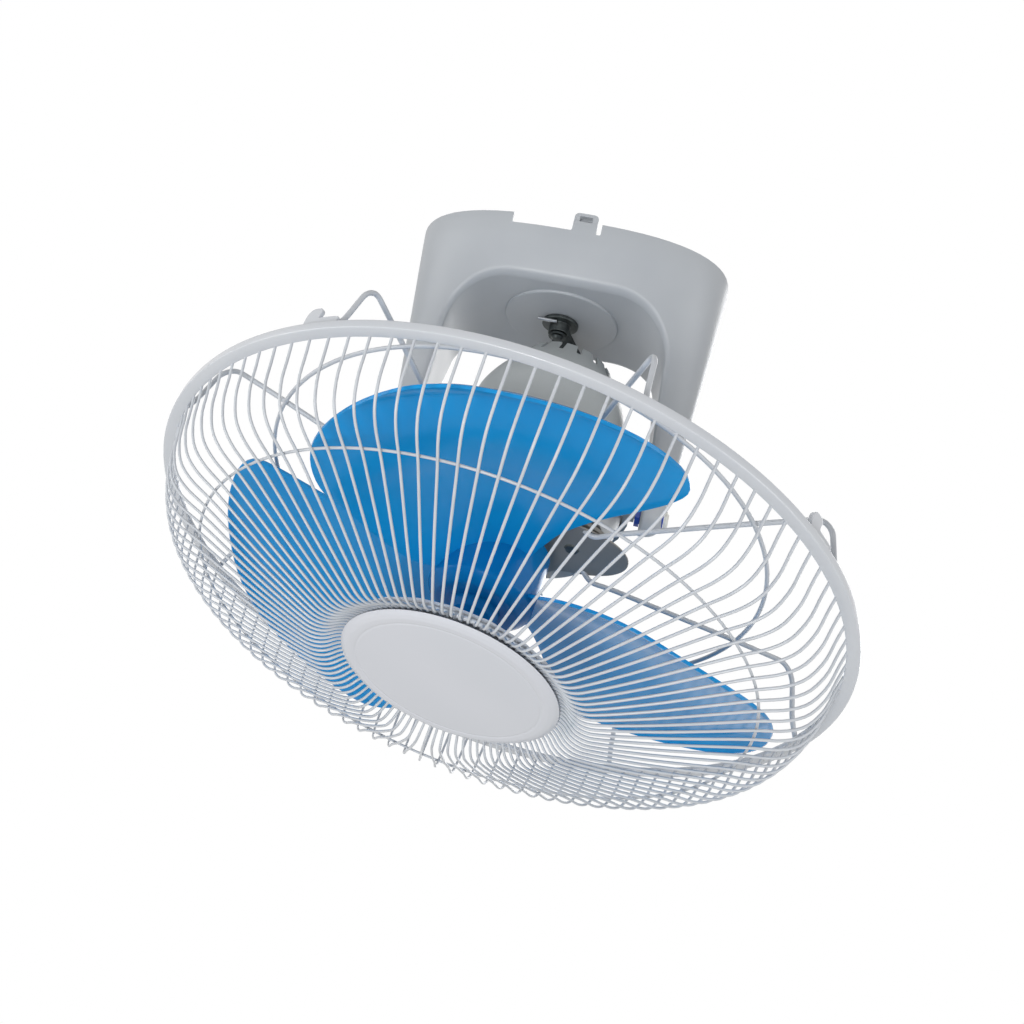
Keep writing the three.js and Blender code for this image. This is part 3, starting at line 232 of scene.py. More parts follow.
greyHousingAbs = finish("grey moulded ABS", "#AFB3B7", "#A9ADB2", mouldedAbs)
coverAbs = finish("pale grey moulded ABS", "#BFC4C5", "#B8BDBE", mouldedAbs)
ringAbs = finish("mid grey moulded ABS", "#8F9497", "#868B8E", mouldedAbs)
# Painted shade: this grey ABS is darkened to the shade under the mount plate, and warmed to cancel the blue
# light that the blades throw on it
shadedAbs = finish("grey ABS darkened and warmed as painted shade", "#85827D", "#7C7974", mouldedAbs)
guardCoat = finish("white powder coat", "#C6CACF", "#BEC2C8", powderCoat)
rimStyrene = finish("white moulded polystyrene", "#CBCED3", "#C4C8CE", polishedStyrene)
plateStyrene = finish("polished polystyrene plate", "#CFD1D8", "#CACDD4", polishedStyrene)
bladeSan = finish("clear blue SAN", "#1299DE", "#0E8FD4", tintedSan(0.1, 0.2), streakHeight)
hubSan = finish("deep blue SAN", "#0A7EC0", "#086EAE", tintedSan(0.02, 0.04), streakHeight)
bushNylon = finish("blue nylon", "#2348A8", "#1C3F98", nylon)
capNylon = finish("ivory nylon", "#E6E5DE", "#DDDCD4", nylon)
zincPlate = finish("zinc plated steel", "#C4C6C8", "#A9ACB0", zincPlating)
oiledSteel = finish("oiled steel", "#6C7170", "#4A4F50", oil)
dieCast = finish("die cast aluminium", "#A5A8AA", "#9DA0A3", castSkin)
stackedSteel = finish("laminated steel", "#7A7E82", "#5E6266", sheetStack)
copperWire = finish("enamelled copper wire", "#B8703C", "#8E4C26", winding, windingHeight)
print("materials made")


# Meshes, lathes and wires
def numbered(name, count):
    return [f"{name}_{i + 1}" for i in range(count)]


def place(piece, body, replaced, material):
    bpy.context.scene.collection.objects.link(piece)
    piece.data.materials.append(material)
    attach(piece, body)
    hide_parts(*replaced)
    return piece


def meshPiece(name, points, faces, matrix, body, material, replaced, sharp=38):
    mesh = bpy.data.meshes.new(name)
    mesh.from_pydata([matrix @ Vector(p) for p in points], [], faces)
    mesh.validate()
    mesh.update()
    for polygon in mesh.polygons:
        polygon.use_smooth = True
    mesh.set_sharp_from_angle(angle=math.radians(sharp))
    return place(bpy.data.objects.new(name, mesh), body, replaced, material)


# Each corner of a line becomes a parabola that starts its bend away from the corner, or almost half a side
almostHalf = 0.49
tiny = 1e-6


def softened(points, bend, steps, closed=False):
    points = [Vector(p) for p in points]
    count = len(points)
    bends = bend if isinstance(bend, list) else [bend] * count
    out = []
    for i, point in enumerate(points):
        if not closed and i in (0, count - 1):
            out.append(point)
            continue
        before = points[i - 1] - point
        after = points[(i + 1) % count] - point
        reach = min(bends[i], before.length * almostHalf, after.length * almostHalf)
        start = point + before.normalized() * reach
        end = point + after.normalized() * reach
        for k in range(steps + 1):
            t = k / steps
            out.append(start.lerp(point, t).lerp(point.lerp(end, t), t))
    return out


def softPairs(pairs, bend, steps, closed=True):
    return [(p.x, p.y) for p in softened([(a, b, 0) for a, b in pairs], bend, steps, closed)]


def lathe(outline, segments):
    points = []
    rings = []
    for r, z in outline:
        if abs(r) < tiny:
            rings.append([len(points)] * segments)
            points.append((0, 0, z))
            continue
        rings.append(list(range(len(points), len(points) + segments)))
        points += [(r * math.cos(math.tau * i / segments), r * math.sin(math.tau * i / segments), z)
                   for i in range(segments)]
    return points, rings


def latheFaces(rings, closed):
    faces = []
    pairs = list(zip(rings, rings[1:]))
    if closed:
        pairs.append((rings[-1], rings[0]))
    for low, high in pairs:
        for i in range(len(low)):
            j = (i + 1) % len(low)
            corner = [low[i], low[j], high[j], high[i]]
            face = [v for k, v in enumerate(corner) if v not in corner[:k]]
            if len(face) > 2:
                faces.append(face)
    return faces


def lathePiece(name, outline, segments, matrix, body, material, replaced, bend, closed=True, sharp=38):
    points, rings = lathe(softPairs(outline, bend, 3, closed), segments)
    return meshPiece(name, points, latheFaces(rings, closed), matrix, body, material, replaced, sharp)


def wirePiece(name, paths, radius, matrix, body, material, replaced, closed=False, sides=2):
    curve = bpy.data.curves.new(name, "CURVE")
    curve.dimensions = "3D"
    curve.bevel_depth = radius * mm
    curve.bevel_resolution = sides
    curve.use_fill_caps = True
    for path in paths:
        spline = curve.splines.new("POLY")
        spline.points.add(len(path) - 1)
        spline.use_cyclic_u = closed
        spline.use_smooth = True
        for point, spot in zip(spline.points, path):
            point.co = (matrix @ Vector(spot)).to_4d()
    return place(bpy.data.objects.new(name, curve), body, replaced, material)


def polar(radius, degrees, height):
    return (radius * math.cos(math.radians(degrees)), radius * math.sin(math.radians(degrees)), height)


def hoopPiece(name, radius, height, wire, replaced, sides=2, steps=180):
    loop = [polar(radius, 360 * i / steps, height) for i in range(steps)]
    wirePiece(name, [loop], wire, headFrame, "head", guardCoat, replaced, closed=True, sides=sides)


# A table's other columns where its first one is x, on a smooth curve through its rows
def between(table, x):
    keys = [row[0] for row in table]
    i = min(max(bisect.bisect_right(keys, x), 1), len(keys) - 1)
    t = (x - keys[i - 1]) / (keys[i] - keys[i - 1])
    rows = [table[min(max(j, 0), len(table) - 1)] for j in (i - 2, i - 1, i, i + 1)]
    return [catmull([row[k] for row in rows], t) for k in range(1, len(table[0]))]


def catmull(p, t):
    return 0.5 * (2 * p[1] + (p[2] - p[0]) * t + (2 * p[0] - 5 * p[1] + 4 * p[2] - p[3]) * t * t
                  + (3 * p[1] - p[0] - 3 * p[2] + p[3]) * t ** 3)


# Front guard: 102 coated wires over a bowl, a hoop behind them, a hub ring under the plate, and the flat rim
rim = {"radius": 215, "depth": 69, "land": 7.6, "height": 3, "skirt": 2.4, "skirtRise": 2.6, "round": 0.7,
       "segments": 288}
guard = {
    "wires": 102,
    "wireRadius": 0.85,
    # radius from the axis and way forward from the rim
    "profile": [(207.9, -0.5), (204.8, 10.5), (202, 24), (194.5, 37), (184, 43.2), (169, 47.4), (145, 56.4),
                (121, 65.2), (96, 73.2), (84, 76.4), (76, 75.2), (68.5, 69), (62, 67.6)],
    "bends": [0, 6, 14, 12, 8, 20, 30, 30, 14, 6, 6, 4, 0],
    "bendSteps": 3,
    "sectors": 6,                      # the nodes that the wires stand for
    "hoopRadius": 169.5, "hoopForward": 44.6,
    "hubRadius": 63.5, "hubForward": 66.2, "hubWire": 1.6,
}


def frontGuard(g, r):
    paths = []
    for k in range(g["wires"]):
        turn = 360 * k / g["wires"]
        rough = [polar(radius, turn, -r["depth"] - forward) for radius, forward in g["profile"]]
        paths.append(softened(rough, g["bends"], g["bendSteps"]))
    sectors = numbered("front_guard", g["sectors"])
    wirePiece("guardWires", paths, g["wireRadius"], headFrame, "head", guardCoat, sectors)
    hoopHeight = -r["depth"] - g["hoopForward"]
    hubHeight = -r["depth"] - g["hubForward"]
    hoopPiece("guardHoop", g["hoopRadius"], hoopHeight, g["wireRadius"], ["front_guard_hoop"])
    hoopPiece("guardHubRing", g["hubRadius"], hubHeight, g["hubWire"], sectors)


def guardRim(r):
    front = -r["depth"] - r["height"] / 2
    back = -r["depth"] + r["height"] / 2
    inner = r["radius"] - r["land"]
    skirt = r["radius"] - r["skirt"]
    outline = [(inner, front), (r["radius"], front), (r["radius"], back + r["skirtRise"]),
               (skirt, back + r["skirtRise"]), (skirt, back), (inner, back)]
    lathePiece("guardRim", outline, r["segments"], headFrame, "head", rimStyrene, ["guard_rim"],
               bend=r["round"])


frontGuard(guard, rim)
guardRim(rim)

# The round plate in the middle of the guard, bare, with a fine groove. [radius, way behind its face]
plate = {"face": 74, "soft": 0.8, "segments": 160,
         "profile": [(0, 4.2), (59.4, 4.2), (66, 2.52), (66, 2.475), (63.525, 0.88), (60.5, 0), (57, 0),
                     (56, 0.35), (55, 0), (28, -0.35), (0, -0.5)]}


def guardPlate(p, r):
    outline = [(radius, -r["depth"] - p["face"] + behind) for radius, behind in p["profile"]]
    lathePiece("guardPlate", outline, p["segments"], headFrame, "head", plateStyrene, ["guard_badge"],
               bend=p["soft"], closed=False, sharp=60)


guardPlate(plate, rim)
print("front guard made")

# Rear guard: four wires, each bent like a V whose nose is clamped under the motor, and the hoop on them
rear = {
    "wires": 4,
    "wireRadius": 1.6,
    "phase": -116, "step": 90, "spread": 46.8,
    "noseRadius": 46, "noseHeight": -29.2,
    "noseShares": (0.22, 0.5, 0.78),   # of the spread
    # radius from the axis and height of a leg, from the clamp outward
    "profile": [(52, -29.8), (60, -37), (74, -34), (157, -24.4), (193, -21), (200, -28.4), (205.5, -55.4),
                (210.3, -66.4)],
    "bend": 9, "bendSteps": 6, "sides": 4,
    "hoopWire": 1.35, "hoopRadius": 157, "hoopSeat": -24.4,
}


def rearGuard(w):
    def legOut(turn):
        return [polar(radius, turn, height) for radius, height in w["profile"]]

    paths = []
    for k in range(w["wires"]):
        first = w["phase"] + k * w["step"]
        nose = [polar(w["noseRadius"], first + w["spread"] * share, w["noseHeight"])
                for share in w["noseShares"]]
        rough = legOut(first)[::-1] + nose + legOut(first + w["spread"])
        paths.append(softened(rough, w["bend"], w["bendSteps"]))
    legs = numbered("rear_leg", w["wires"])
    wirePiece("rearGuardLegs", paths, w["wireRadius"], headFrame, "head", guardCoat, legs, sides=w["sides"])
    height = w["hoopSeat"] - w["wireRadius"] - w["hoopWire"]
    hoopPiece("rearGuardHoop", w["hoopRadius"], height, w["hoopWire"], ["rear_hoop"], sides=w["sides"])


rearGuard(rear)
print("rear guard made")

# Blades: three petals of clear blue plastic on one hub
blade = {
    "count": 3, "phase": -95, "thickness": 2, "edgeRound": 0.7, "rows": 48, "columns": 30,
    "crown": 6, "fullWidth": 50,       # a petal is crowned in full where it is this many degrees wide
    # radius, left and right edge in degrees from the blade's middle line, height of each edge
    "edges": [(30, -52, 52, -80, -59), (41, -56, 46, -84, -58.7), (52, -56, 43, -86, -58.4),
              (65, -53, 41, -87.5, -58), (85, -48.4, 41.6, -90.5, -57.7), (105, -43.7, 43.3, -94.5, -57.3),
              (125, -40, 45.2, -100.4, -56.6), (145, -35, 46.3, -103, -55.4),
              (160, -30.4, 45.3, -102.5, -54.4), (170, -25.6, 40, -99.4, -55.4),
              (178, -19.7, 29.5, -94.5, -61), (184, -13.8, 18, -90, -69), (188, -8.6, 9.1, -86.4, -76),
              (189.5, -5.4, 5, -84.6, -78.5), (190.1, -3, 2, -83.2, -80.4),
              (190.3, -0.8, -0.2, -81.9, -81.6)],
}
hub = {"radius": 32.5, "rear": -45, "face": -91, "wall": 2.6, "boss": 10, "round": 7, "bore": 4.3,
       "soft": 1.6, "segments": 96}


def bladeMesh(b, turn):
    table = [(k,) + edge for k, edge in enumerate(b["edges"])]
    points = []
    for i in range(b["rows"] + 1):
        index = i / b["rows"] * (len(table) - 1)
        radius, left, right, leftHeight, rightHeight = between(table, index)
        crown = b["crown"] * min(1, (right - left) / b["fullWidth"])
        for j in range(b["columns"] + 1):
            u = j / b["columns"]
            degrees = b["phase"] + turn + left + (right - left) * u
            height = leftHeight + (rightHeight - leftHeight) * u + crown * 4 * u * (1 - u)
            points.append(polar(radius, degrees, height))
    wide = b["columns"] + 1
    faces = [(i * wide + j, i * wide + j + 1, (i + 1) * wide + j + 1, (i + 1) * wide + j)
             for i in range(b["rows"]) for j in range(b["columns"])]
    return points, faces


def petals(b):
    for k in range(b["count"]):
        points, faces = bladeMesh(b, 360 * k / b["count"])
        petal = meshPiece(f"petal{k + 1}", points, faces, headFrame, "rotor", bladeSan, ["blades"], sharp=60)
        sheet = petal.modifiers.new("thickness", "SOLIDIFY")
        sheet.thickness = b["thickness"] * mm
        sheet.offset = 0
        soft = petal.modifiers.new("soft edge", "BEVEL")
        soft.width = b["edgeRound"] * mm
        soft.segments = 2
        soft.limit_method = "ANGLE"


def hubCup(h):
    inner = h["radius"] - h["wall"]
    shoulder = h["radius"] - h["round"]
    under = h["face"] + 2 * h["wall"]
    floor = h["rear"] + h["wall"]
    outline = [(h["radius"], h["rear"]), (h["radius"], h["face"] + h["round"]), (shoulder, h["face"]),
               (h["bore"], h["face"]), (h["bore"], floor), (h["boss"], floor), (h["boss"], under),
               (shoulder, under), (inner, h["face"] + h["round"]), (inner, h["rear"])]
    lathePiece("hub", outline, h["segments"], headFrame, "rotor", hubSan, ["blades"], bend=h["soft"])


petals(blade)
hubCup(hub)
print("blades made")


# Solids that are cut or joined before they are placed, in millimetres
def solid(points, faces):
    mesh = bpy.data.meshes.new("solid")
    mesh.from_pydata(points, [], faces)
    work = bmesh.new()
    work.from_mesh(mesh)
    bmesh.ops.remove_doubles(work, verts=work.verts, dist=1e-4)
    bmesh.ops.recalc_face_normals(work, faces=work.faces)
    work.to_mesh(mesh)
    work.free()
    form = bpy.data.objects.new("solid", mesh)
    bpy.context.scene.collection.objects.link(form)
    return form


def combined(form, operation, tools):
    for tool in tools:
        step = form.modifiers.new("step", "BOOLEAN")
        step.operation = operation
        step.solver = "EXACT"
        step.object = tool
    graph = bpy.context.evaluated_depsgraph_get()
    mesh = bpy.data.meshes.new_from_object(form.evaluated_get(graph))
    form.modifiers.clear()
    form.data = mesh
    for tool in tools:
        bpy.data.objects.remove(tool)
    return form


def finished(form, name, matrix, body, material, replaced, sharp=32, edge=0):
    form.name = name
    form.data.name = name
    form.data.transform(matrix)
    for polygon in form.data.polygons:
        polygon.use_smooth = True
    form.data.set_sharp_from_angle(angle=math.radians(sharp))
    if edge:
        soft = form.modifiers.new("soft edge", "BEVEL")
        soft.width = edge * mm
        soft.segments = 3
        soft.limit_method = "ANGLE"
        soft.angle_limit = math.radians(sharp)
    weighted = form.modifiers.new("weighted normals", "WEIGHTED_NORMAL")
    weighted.keep_sharp = True
    bpy.context.scene.collection.objects.unlink(form)
    return place(form, body, replaced, material)


# An outline of pairs, drawn out along one of the axes
def prism(outline, low, high, axis=2):
    count = len(outline)
    points = []
    for depth in (low, high):
        for pair in outline:
            spot = list(pair)
            spot.insert(axis, depth)
            points.append(tuple(spot))
    sides = [(i, (i + 1) % count, count + (i + 1) % count, count + i) for i in range(count)]
    return points, [list(range(count)), list(range(count, 2 * count))] + sides


def roundedBox(left, right, low, high, bends):
    return softPairs([(left, low), (right, low), (right, high), (left, high)], bends, 5)


def turned(outline, segments, closed=True, bend=0):
    if bend:
        outline = softPairs(outline, bend, 4, closed)
    points, rings = lathe(outline, segments)
    return points, latheFaces(rings, closed)


def rod(radius, low, high, segments=48):
    return turned([(0, low), (radius, low), (radius, high), (0, high)], segments, closed=False)


def shifted(form, matrix):
    points, faces = form
    return [tuple(matrix @ Vector(p)) for p in points], faces


# Housing: a yoke moulded in grey ABS, lofted along its arch. Heights from the gimbal's centre
yoke = {
    "top": 165, "roof": 126, "topHalfWidth": 103, "armHalfWidth": 89, "topHalfDepth": 63, "armHalfDepth": 20,
    "endDrop": 13, "endCorner": 9, "innerHalfWidth": 75, "leanFrom": 20, "innerLean": 0.0743,
    "backNarrowing": 0.054, "archCorner": 36, "edgeRound": 4.8, "ovalPower": 2.7, "tipRound": 0.93,
    "wall": 2.8, "roofWall": 3.4, "pocketRise": 22, "overrun": 3, "tip": 0.1,
    "topShare": 0.42,                  # of the corner's arc, up to where the outside meets the top
    "acrossPower": 2.2,                # draws the points across a station towards its outside
    "almostOutside": 0.9999,           # share of the width at which the depth is still not nothing
    "discRadius": 38, "discDrop": 1.6, "discRound": 0.9, "discSoft": 0.5, "discSegments": 96,
    "bossRadius": 5, "bossHeight": 4, "bossPlaces": [(x, y) for x in (-50.5, 50.5) for y in (-18, 18)],
    "screwBore": 2.3, "screwDepth": 7.9, "screwSegments": 16, "spigotBore": 4.5, "bushBore": 5.9,
    "endSteps": 8, "armSteps": 16, "cornerSteps": 24, "roofSteps": 8, "roundSteps": 7, "acrossSteps": 18,
}
# share of the height, and share by which the depth has grown there
depthGain = [(0, 0), (0.1, 0.045), (0.2, 0.1), (0.3, 0.16), (0.4, 0.22), (0.5, 0.31), (0.6, 0.43),
             (0.7, 0.58), (0.8, 0.76), (0.88, 0.89), (0.95, 0.97), (1, 1)]


def yokeWidth(y, height, inset):
    wide = y["armHalfWidth"] + (y["topHalfWidth"] - y["armHalfWidth"]) * height / y["top"]
    c = max(0, 1 - (height + y["endDrop"]) / y["endCorner"])
    return wide - inset - y["endCorner"] * (1 - math.sqrt(max(0, 1 - c * c)))


def yokeDepth(y, x, height, inset):
    gain = between(depthGain, min(max(height / y["top"], 0), 1))[0]
    deep = y["armHalfDepth"] + (y["topHalfDepth"] - y["armHalfDepth"]) * gain
    c = min(1, max(0, -height / y["endDrop"]))
    deep = deep * math.sqrt(1 - y["tipRound"] * c * c) - inset
    share = min(1, abs(x) / yokeWidth(y, height, inset))
    return deep * (1 - share ** y["ovalPower"]) ** (1 / y["ovalPower"])


def yokeStations(y, inset, floor, top):
    roof = y["roof"] + (y["roofWall"] if inset else 0)
    corner = y["archCorner"] + inset

    def inner(height):
        return y["innerHalfWidth"] - y["innerLean"] * max(0, height - y["leanFrom"]) + inset

    start = floor if inset else 0
    heights = [start + (roof - corner - start) * i / y["armSteps"] for i in range(y["armSteps"] + 1)]
    if not inset:
        heights = [floor + y["endDrop"] * (1 - math.cos(math.pi / 2 * i / y["endSteps"]))
                   for i in range(y["endSteps"])] + heights
    half = [((inner(z), z), (yokeWidth(y, z, inset), z)) for z in heights]
    wide = inner(y["roof"] - y["archCorner"])
    topWide = yokeWidth(y, y["top"], inset)
    for i in range(1, y["cornerSteps"] + 1):
        share = i / y["cornerSteps"]
        turn = share * math.pi / 2
        z = roof - corner + (top - roof + corner) * min(1, share / y["topShare"])
        x = yokeWidth(y, min(z, y["top"]), inset)
        if share >= y["topShare"]:
            x = topWide + (wide - corner - topWide) * ((share - y["topShare"]) / (1 - y["topShare"])) ** 2
        arch = (wide - corner + corner * math.cos(turn), roof - corner + corner * math.sin(turn))
        half.append((arch, (x, z)))
    for i in range(1, y["roofSteps"] + 1):
        x = (wide - corner) * (1 - i / y["roofSteps"])
        half.append(((x, roof), (x, top)))
    return half + [((-a, b), (-c, d)) for (a, b), (c, d) in half[-2::-1]]


# Points from a station's inside to its outside: [share of the way, drop of the depth in the soft edge]
def acrossStation(y, span, inset):
    bend = 0 if inset else min(y["edgeRound"], span / 3)
    shares = []
    if bend:
        for i in range(y["roundSteps"]):
            turn = math.pi / 2 * i / y["roundSteps"]
            shares.append((bend * (1 - math.cos(turn)) / span, bend * (1 - math.sin(turn))))
    for i in range(y["acrossSteps"] + 1):
        share = 1 - (1 - i / y["acrossSteps"]) ** y["acrossPower"]
        shares.append((bend / span + (1 - bend / span) * share, 0))
    return shares


def yokeSkin(y, inset, floor, top):
    points = []
    stations = yokeStations(y, inset, floor, top)
    for inner, outer in stations:
        across, rise = outer[0] - inner[0], outer[1] - inner[1]
        arch = min(1, max(0, inner[1]) / (y["roof"] - y["archCorner"]))
        narrowing = y["backNarrowing"] / y["topHalfDepth"] * arch
        front, back = [], []
        for share, drop in acrossStation(y, math.hypot(across, rise), inset):
            x = inner[0] + across * min(share, y["almostOutside"])
            z = inner[1] + rise * share
            deep = max(yokeDepth(y, x, min(z, y["top"]), inset) - drop, y["tip"])
            for side, spots in ((-deep, front), (deep, back)):
                spots.append((inner[0] * (1 - narrowing * side) * (1 - share) + outer[0] * share, side, z))
        points += front + back[::-1]
    count = len(points) // len(stations)
    starts = range(0, len(points), count)
    faces = [(low + j, low + (j + 1) % count, high + (j + 1) % count, high + j)
             for low, high in zip(starts, starts[1:]) for j in range(count)]
    return points, faces + [list(range(count)), list(range(starts[-1], len(points)))]


# The clip tab in the front of the open top edge, with the notch and the gap beside it
clip = {"left": -1.2, "width": 15.5, "rise": 6, "drop": 13, "depth": 4.6, "proud": 0.4, "slant": 0.16,
        "bends": [2, 2, 3.4, 3.4], "slotWidth": 8.4, "slotHeight": 4.2, "slotDrop": 2, "slotDepth": 4,
        "slotRound": 1, "gapWidth": 3, "gapDrop": 7.6, "gapBends": [1.2, 1.2, 0.1, 0.1], "notchLeft": -40,
        "notchDrop": 7.2, "notchBends": [1.5, 1.5, 0.1, 0.1]}


def roofDisc(y):
    top = y["roof"] + y["roofWall"] / 2
    face = y["roof"] - y["discDrop"]
    outline = [(0, top), (y["discRadius"], top), (y["discRadius"], face + y["discRound"]),
               (y["discRadius"] - y["discRound"], face), (0, face)]
    return solid(*turned(outline, y["discSegments"], closed=False, bend=y["discSoft"]))


def screwBosses(y, skin, inside):
    post = rod(y["bossRadius"], y["roof"] - y["archCorner"] / 2, inside)
    raised = shifted(skin, Matrix.Translation((0, 0, y["roofWall"] / 2)))
    bosses = []
    for x, across in y["bossPlaces"]:
        boss = shifted(post, Matrix.Translation((x, across, 0)))
        bosses.append(combined(solid(*boss), "INTERSECT", [solid(*raised)]))
    return bosses


def clipTab(y, c, wall):
    top = y["top"] + c["rise"]
    shape = roundedBox(c["left"], c["left"] + c["width"], y["top"] - c["drop"], top, c["bends"])
    points, faces = prism(shape, wall, wall + c["depth"], 1)
    return solid([(x, deep - c["proud"] + c["slant"] * (top - z), z) for x, deep, z in points], faces)


def topEdgeCuts(y, c, wall):
    right = c["left"] + c["width"]
    above = y["top"] + y["overrun"]
    slotLeft = (c["left"] + right - c["slotWidth"]) / 2
    slotTop = y["top"] + c["rise"] - c["slotDrop"]
    slot = roundedBox(slotLeft, slotLeft + c["slotWidth"], slotTop - c["slotHeight"], slotTop, c["slotRound"])
    notch = roundedBox(c["notchLeft"], c["left"], y["top"] - c["notchDrop"], above, c["notchBends"])
    gap = roundedBox(right, right + c["gapWidth"], y["top"] - c["gapDrop"], above, c["gapBends"])
    front = -y["topHalfDepth"]
    return [prism(slot, wall - y["overrun"], wall + c["slotDepth"], 1),
            prism(notch, front - y["overrun"], front / 2, 1), prism(gap, front - y["overrun"], front / 2, 1)]


def bores(y, inside):
    reach = y["armHalfWidth"] + y["overrun"]
    spigot = rod(y["spigotBore"], y["roof"] - y["discDrop"] - y["overrun"], inside)
    bush = shifted(rod(y["bushBore"], -reach, reach), Matrix.Rotation(math.pi / 2, 4, "Y"))
    screw = rod(y["screwBore"], inside - y["screwDepth"], inside + y["overrun"], y["screwSegments"])
    screws = [shifted(screw, Matrix.Translation((x, across, 0))) for x, across in y["bossPlaces"]]
    return [spigot, bush] + screws


def housing(y, c):
    skin = yokeSkin(y, 0, -y["endDrop"], y["top"])
    pocket = yokeSkin(y, y["wall"], y["pocketRise"], y["top"] + y["overrun"])
    form = combined(solid(*skin), "DIFFERENCE", [solid(*pocket)])
    inside = y["roof"] + y["roofWall"] + y["bossHeight"]
    wall = -min(yokeDepth(y, x, y["top"], 0) for x in (c["left"], c["left"] + c["width"]))
    form = combined(form, "UNION", [roofDisc(y)] + screwBosses(y, skin, inside) + [clipTab(y, c, wall)])
    cuts = topEdgeCuts(y, c, wall) + bores(y, inside)
    form = combined(form, "DIFFERENCE", [solid(*shape) for shape in cuts])
    finished(form, "housing", yokeFrame, "housing", greyHousingAbs, ["housing_shell"], sharp=34)


housing(yoke, clip)
print("housing made")

# Cone cover behind the motor, with notches round its mouth. Heights along the head's axis
cover = {
    "foot": 20.9, "mouth": 101.2, "mouthRadius": 31.2, "wall": 2.4, "opening": 24.6,
    "segments": 180, "steps": 28,
    "lipWall": 1.5, "lip": 0.5, "lipFlare": 0.1, "lipRound": 0.2,
    "notches": 18, "notchDepth": 10, "notchWidth": 3.4, "notchBends": [1.666, 1.666, 0.1, 0.1], "phase": 4,
    # height and radius of the outside
    "curve": [(20.9, 60.4), (33.4, 54.4), (46, 51.2), (61.05, 50.15), (74, 45.6), (86.7, 38.9), (95, 34.2),
              (101.2, 31.2)],
}


def coverOutline(c):
    heights = [c["foot"] + (c["mouth"] - c["foot"]) * i / c["steps"] for i in range(c["steps"] + 1)]
    outside = [(between(c["curve"], z)[0], z) for z in heights]
    outside[-1] = (outside[-1][0] + c["lipFlare"], c["mouth"] - c["lip"])
    lip = [(c["mouthRadius"] - c["lipRound"], c["mouth"]),
           (c["mouthRadius"] - c["lipWall"] + c["lip"], c["mouth"])]
    thinner = (c["wall"] - c["lipWall"]) / c["steps"]
    inside = [(r - c["wall"] + thinner * i, z) for i, (r, z) in enumerate(outside)]
    return outside + lip + inside[:0:-1] + [(c["opening"], c["foot"] + c["wall"]), (c["opening"], c["foot"])]


def motorCover(c):
    form = solid(*turned(coverOutline(c), c["segments"]))
    half = c["notchWidth"] / 2
    shape = roundedBox(-half, half, c["mouth"] - c["notchDepth"], c["mouth"] + c["wall"], c["notchBends"])
    notch = prism(shape, c["mouthRadius"] - 2 * c["wall"], c["mouthRadius"] + 2 * c["wall"], 0)
    turns = [Matrix.Rotation(math.radians(360 * k / c["notches"] + c["phase"]), 4, "Z")
             for k in range(c["notches"])]
    form = combined(form, "DIFFERENCE", [solid(*shifted(notch, turn)) for turn in turns])
    finished(form, "motorCover", headFrame, "head", coverAbs, ["motor_cover"])


motorCover(cover)
print("motor cover made")

# Motor: two cast shells, turned within a sphere, each with a seat for its bearing
motor = {"sphere": 64.3, "gap": 0.3, "wall": 2.6, "seatRadius": 11.3, "seatDepth": 7, "skinSteps": 10,
         "rearHeight": 20.6, "frontHeight": 24, "segments": 160, "edge": 0.8}


def motorShell(m, name, side, height, node):
    start = m["gap"] / 2
    levels = [start + (height - start) * i / m["skinSteps"] for i in range(m["skinSteps"] + 1)]
    skin = [(math.sqrt(m["sphere"] ** 2 - z * z) - m["gap"], z) for z in levels]
    inner = math.sqrt(m["sphere"] ** 2 - m["rearHeight"] ** 2) - 2 * m["wall"]
    ledge = height - m["wall"]
    cup = ledge - m["seatDepth"]
    seat = m["seatRadius"]
    inside = [(seat, height), (seat, cup), (seat + m["wall"], cup), (seat + m["wall"], ledge), (inner, ledge),
              (inner, start)]
    outline = [(r, side * z) for r, z in skin + inside]
    bend = [0] * m["skinSteps"] + [m["edge"]] + [0] * len(inside)
    lathePiece(name, outline, m["segments"], headFrame, "head", dieCast, [node], bend=bend)


motorShell(motor, "motorFrontShell", -1, motor["frontHeight"], "motor_front_shell")
motorShell(motor, "motorRearShell", 1, motor["rearHeight"], "motor_rear_shell")
print("motor shells made")

# Plate under the motor that carries the guards: two lobed sheets with the leg wires clamped between them
mountPlate = {"rear": -24.3, "front": -27.3, "waist": 47, "lobeX": 66.6, "lobeY": 57, "bore": 16,
              "sleeve": 24, "coverRear": -31.3, "coverFront": -32.6, "coverWaist": 43, "coverLobeX": 77,
              "coverLobeY": 51, "coverTurn": -2.6, "lap": 0.2, "overrun": 1, "edge": 0.5, "lobes": 4,
              "steps": 160}


# A round outline with a lobe towards each side. Within 45 degrees of X a lobe has X's reach
def lobedOutline(p, waist, reachX, reachY, turn=0):
    outline = []
    for i in range(p["steps"]):
        a = math.tau * i / p["steps"]
        reach = reachX if abs(math.cos(a)) > math.sqrt(0.5) else reachY
        r = waist + (reach - waist) * (1 + math.cos(p["lobes"] * a)) / 2
        outline.append((r * math.cos(a + math.radians(turn)), r * math.sin(a + math.radians(turn))))
    return outline


def guardMount(p):
    upper = lobedOutline(p, p["waist"], p["lobeX"], p["lobeY"])
    lower = lobedOutline(p, p["coverWaist"], p["coverLobeX"], p["coverLobeY"], p["coverTurn"])
    form = combined(solid(*prism(upper, p["front"], p["rear"])), "UNION",
                    [solid(*prism(lower, p["coverFront"], p["coverRear"])),
                     solid(*rod(p["sleeve"], p["coverFront"] + p["lap"], p["rear"] - p["lap"]))])
    bore = rod(p["bore"], p["coverFront"] - p["overrun"], p["rear"] + p["overrun"])
    form = combined(form, "DIFFERENCE", [solid(*bore)])
    # The mount plate's darker, warmer grey is painted shade, not the plastic's own colour
    finished(form, "guardMount", headFrame, "head", shadedAbs, ["guard_mount"], edge=p["edge"])


guardMount(mountPlate)
print("mounting plate made")

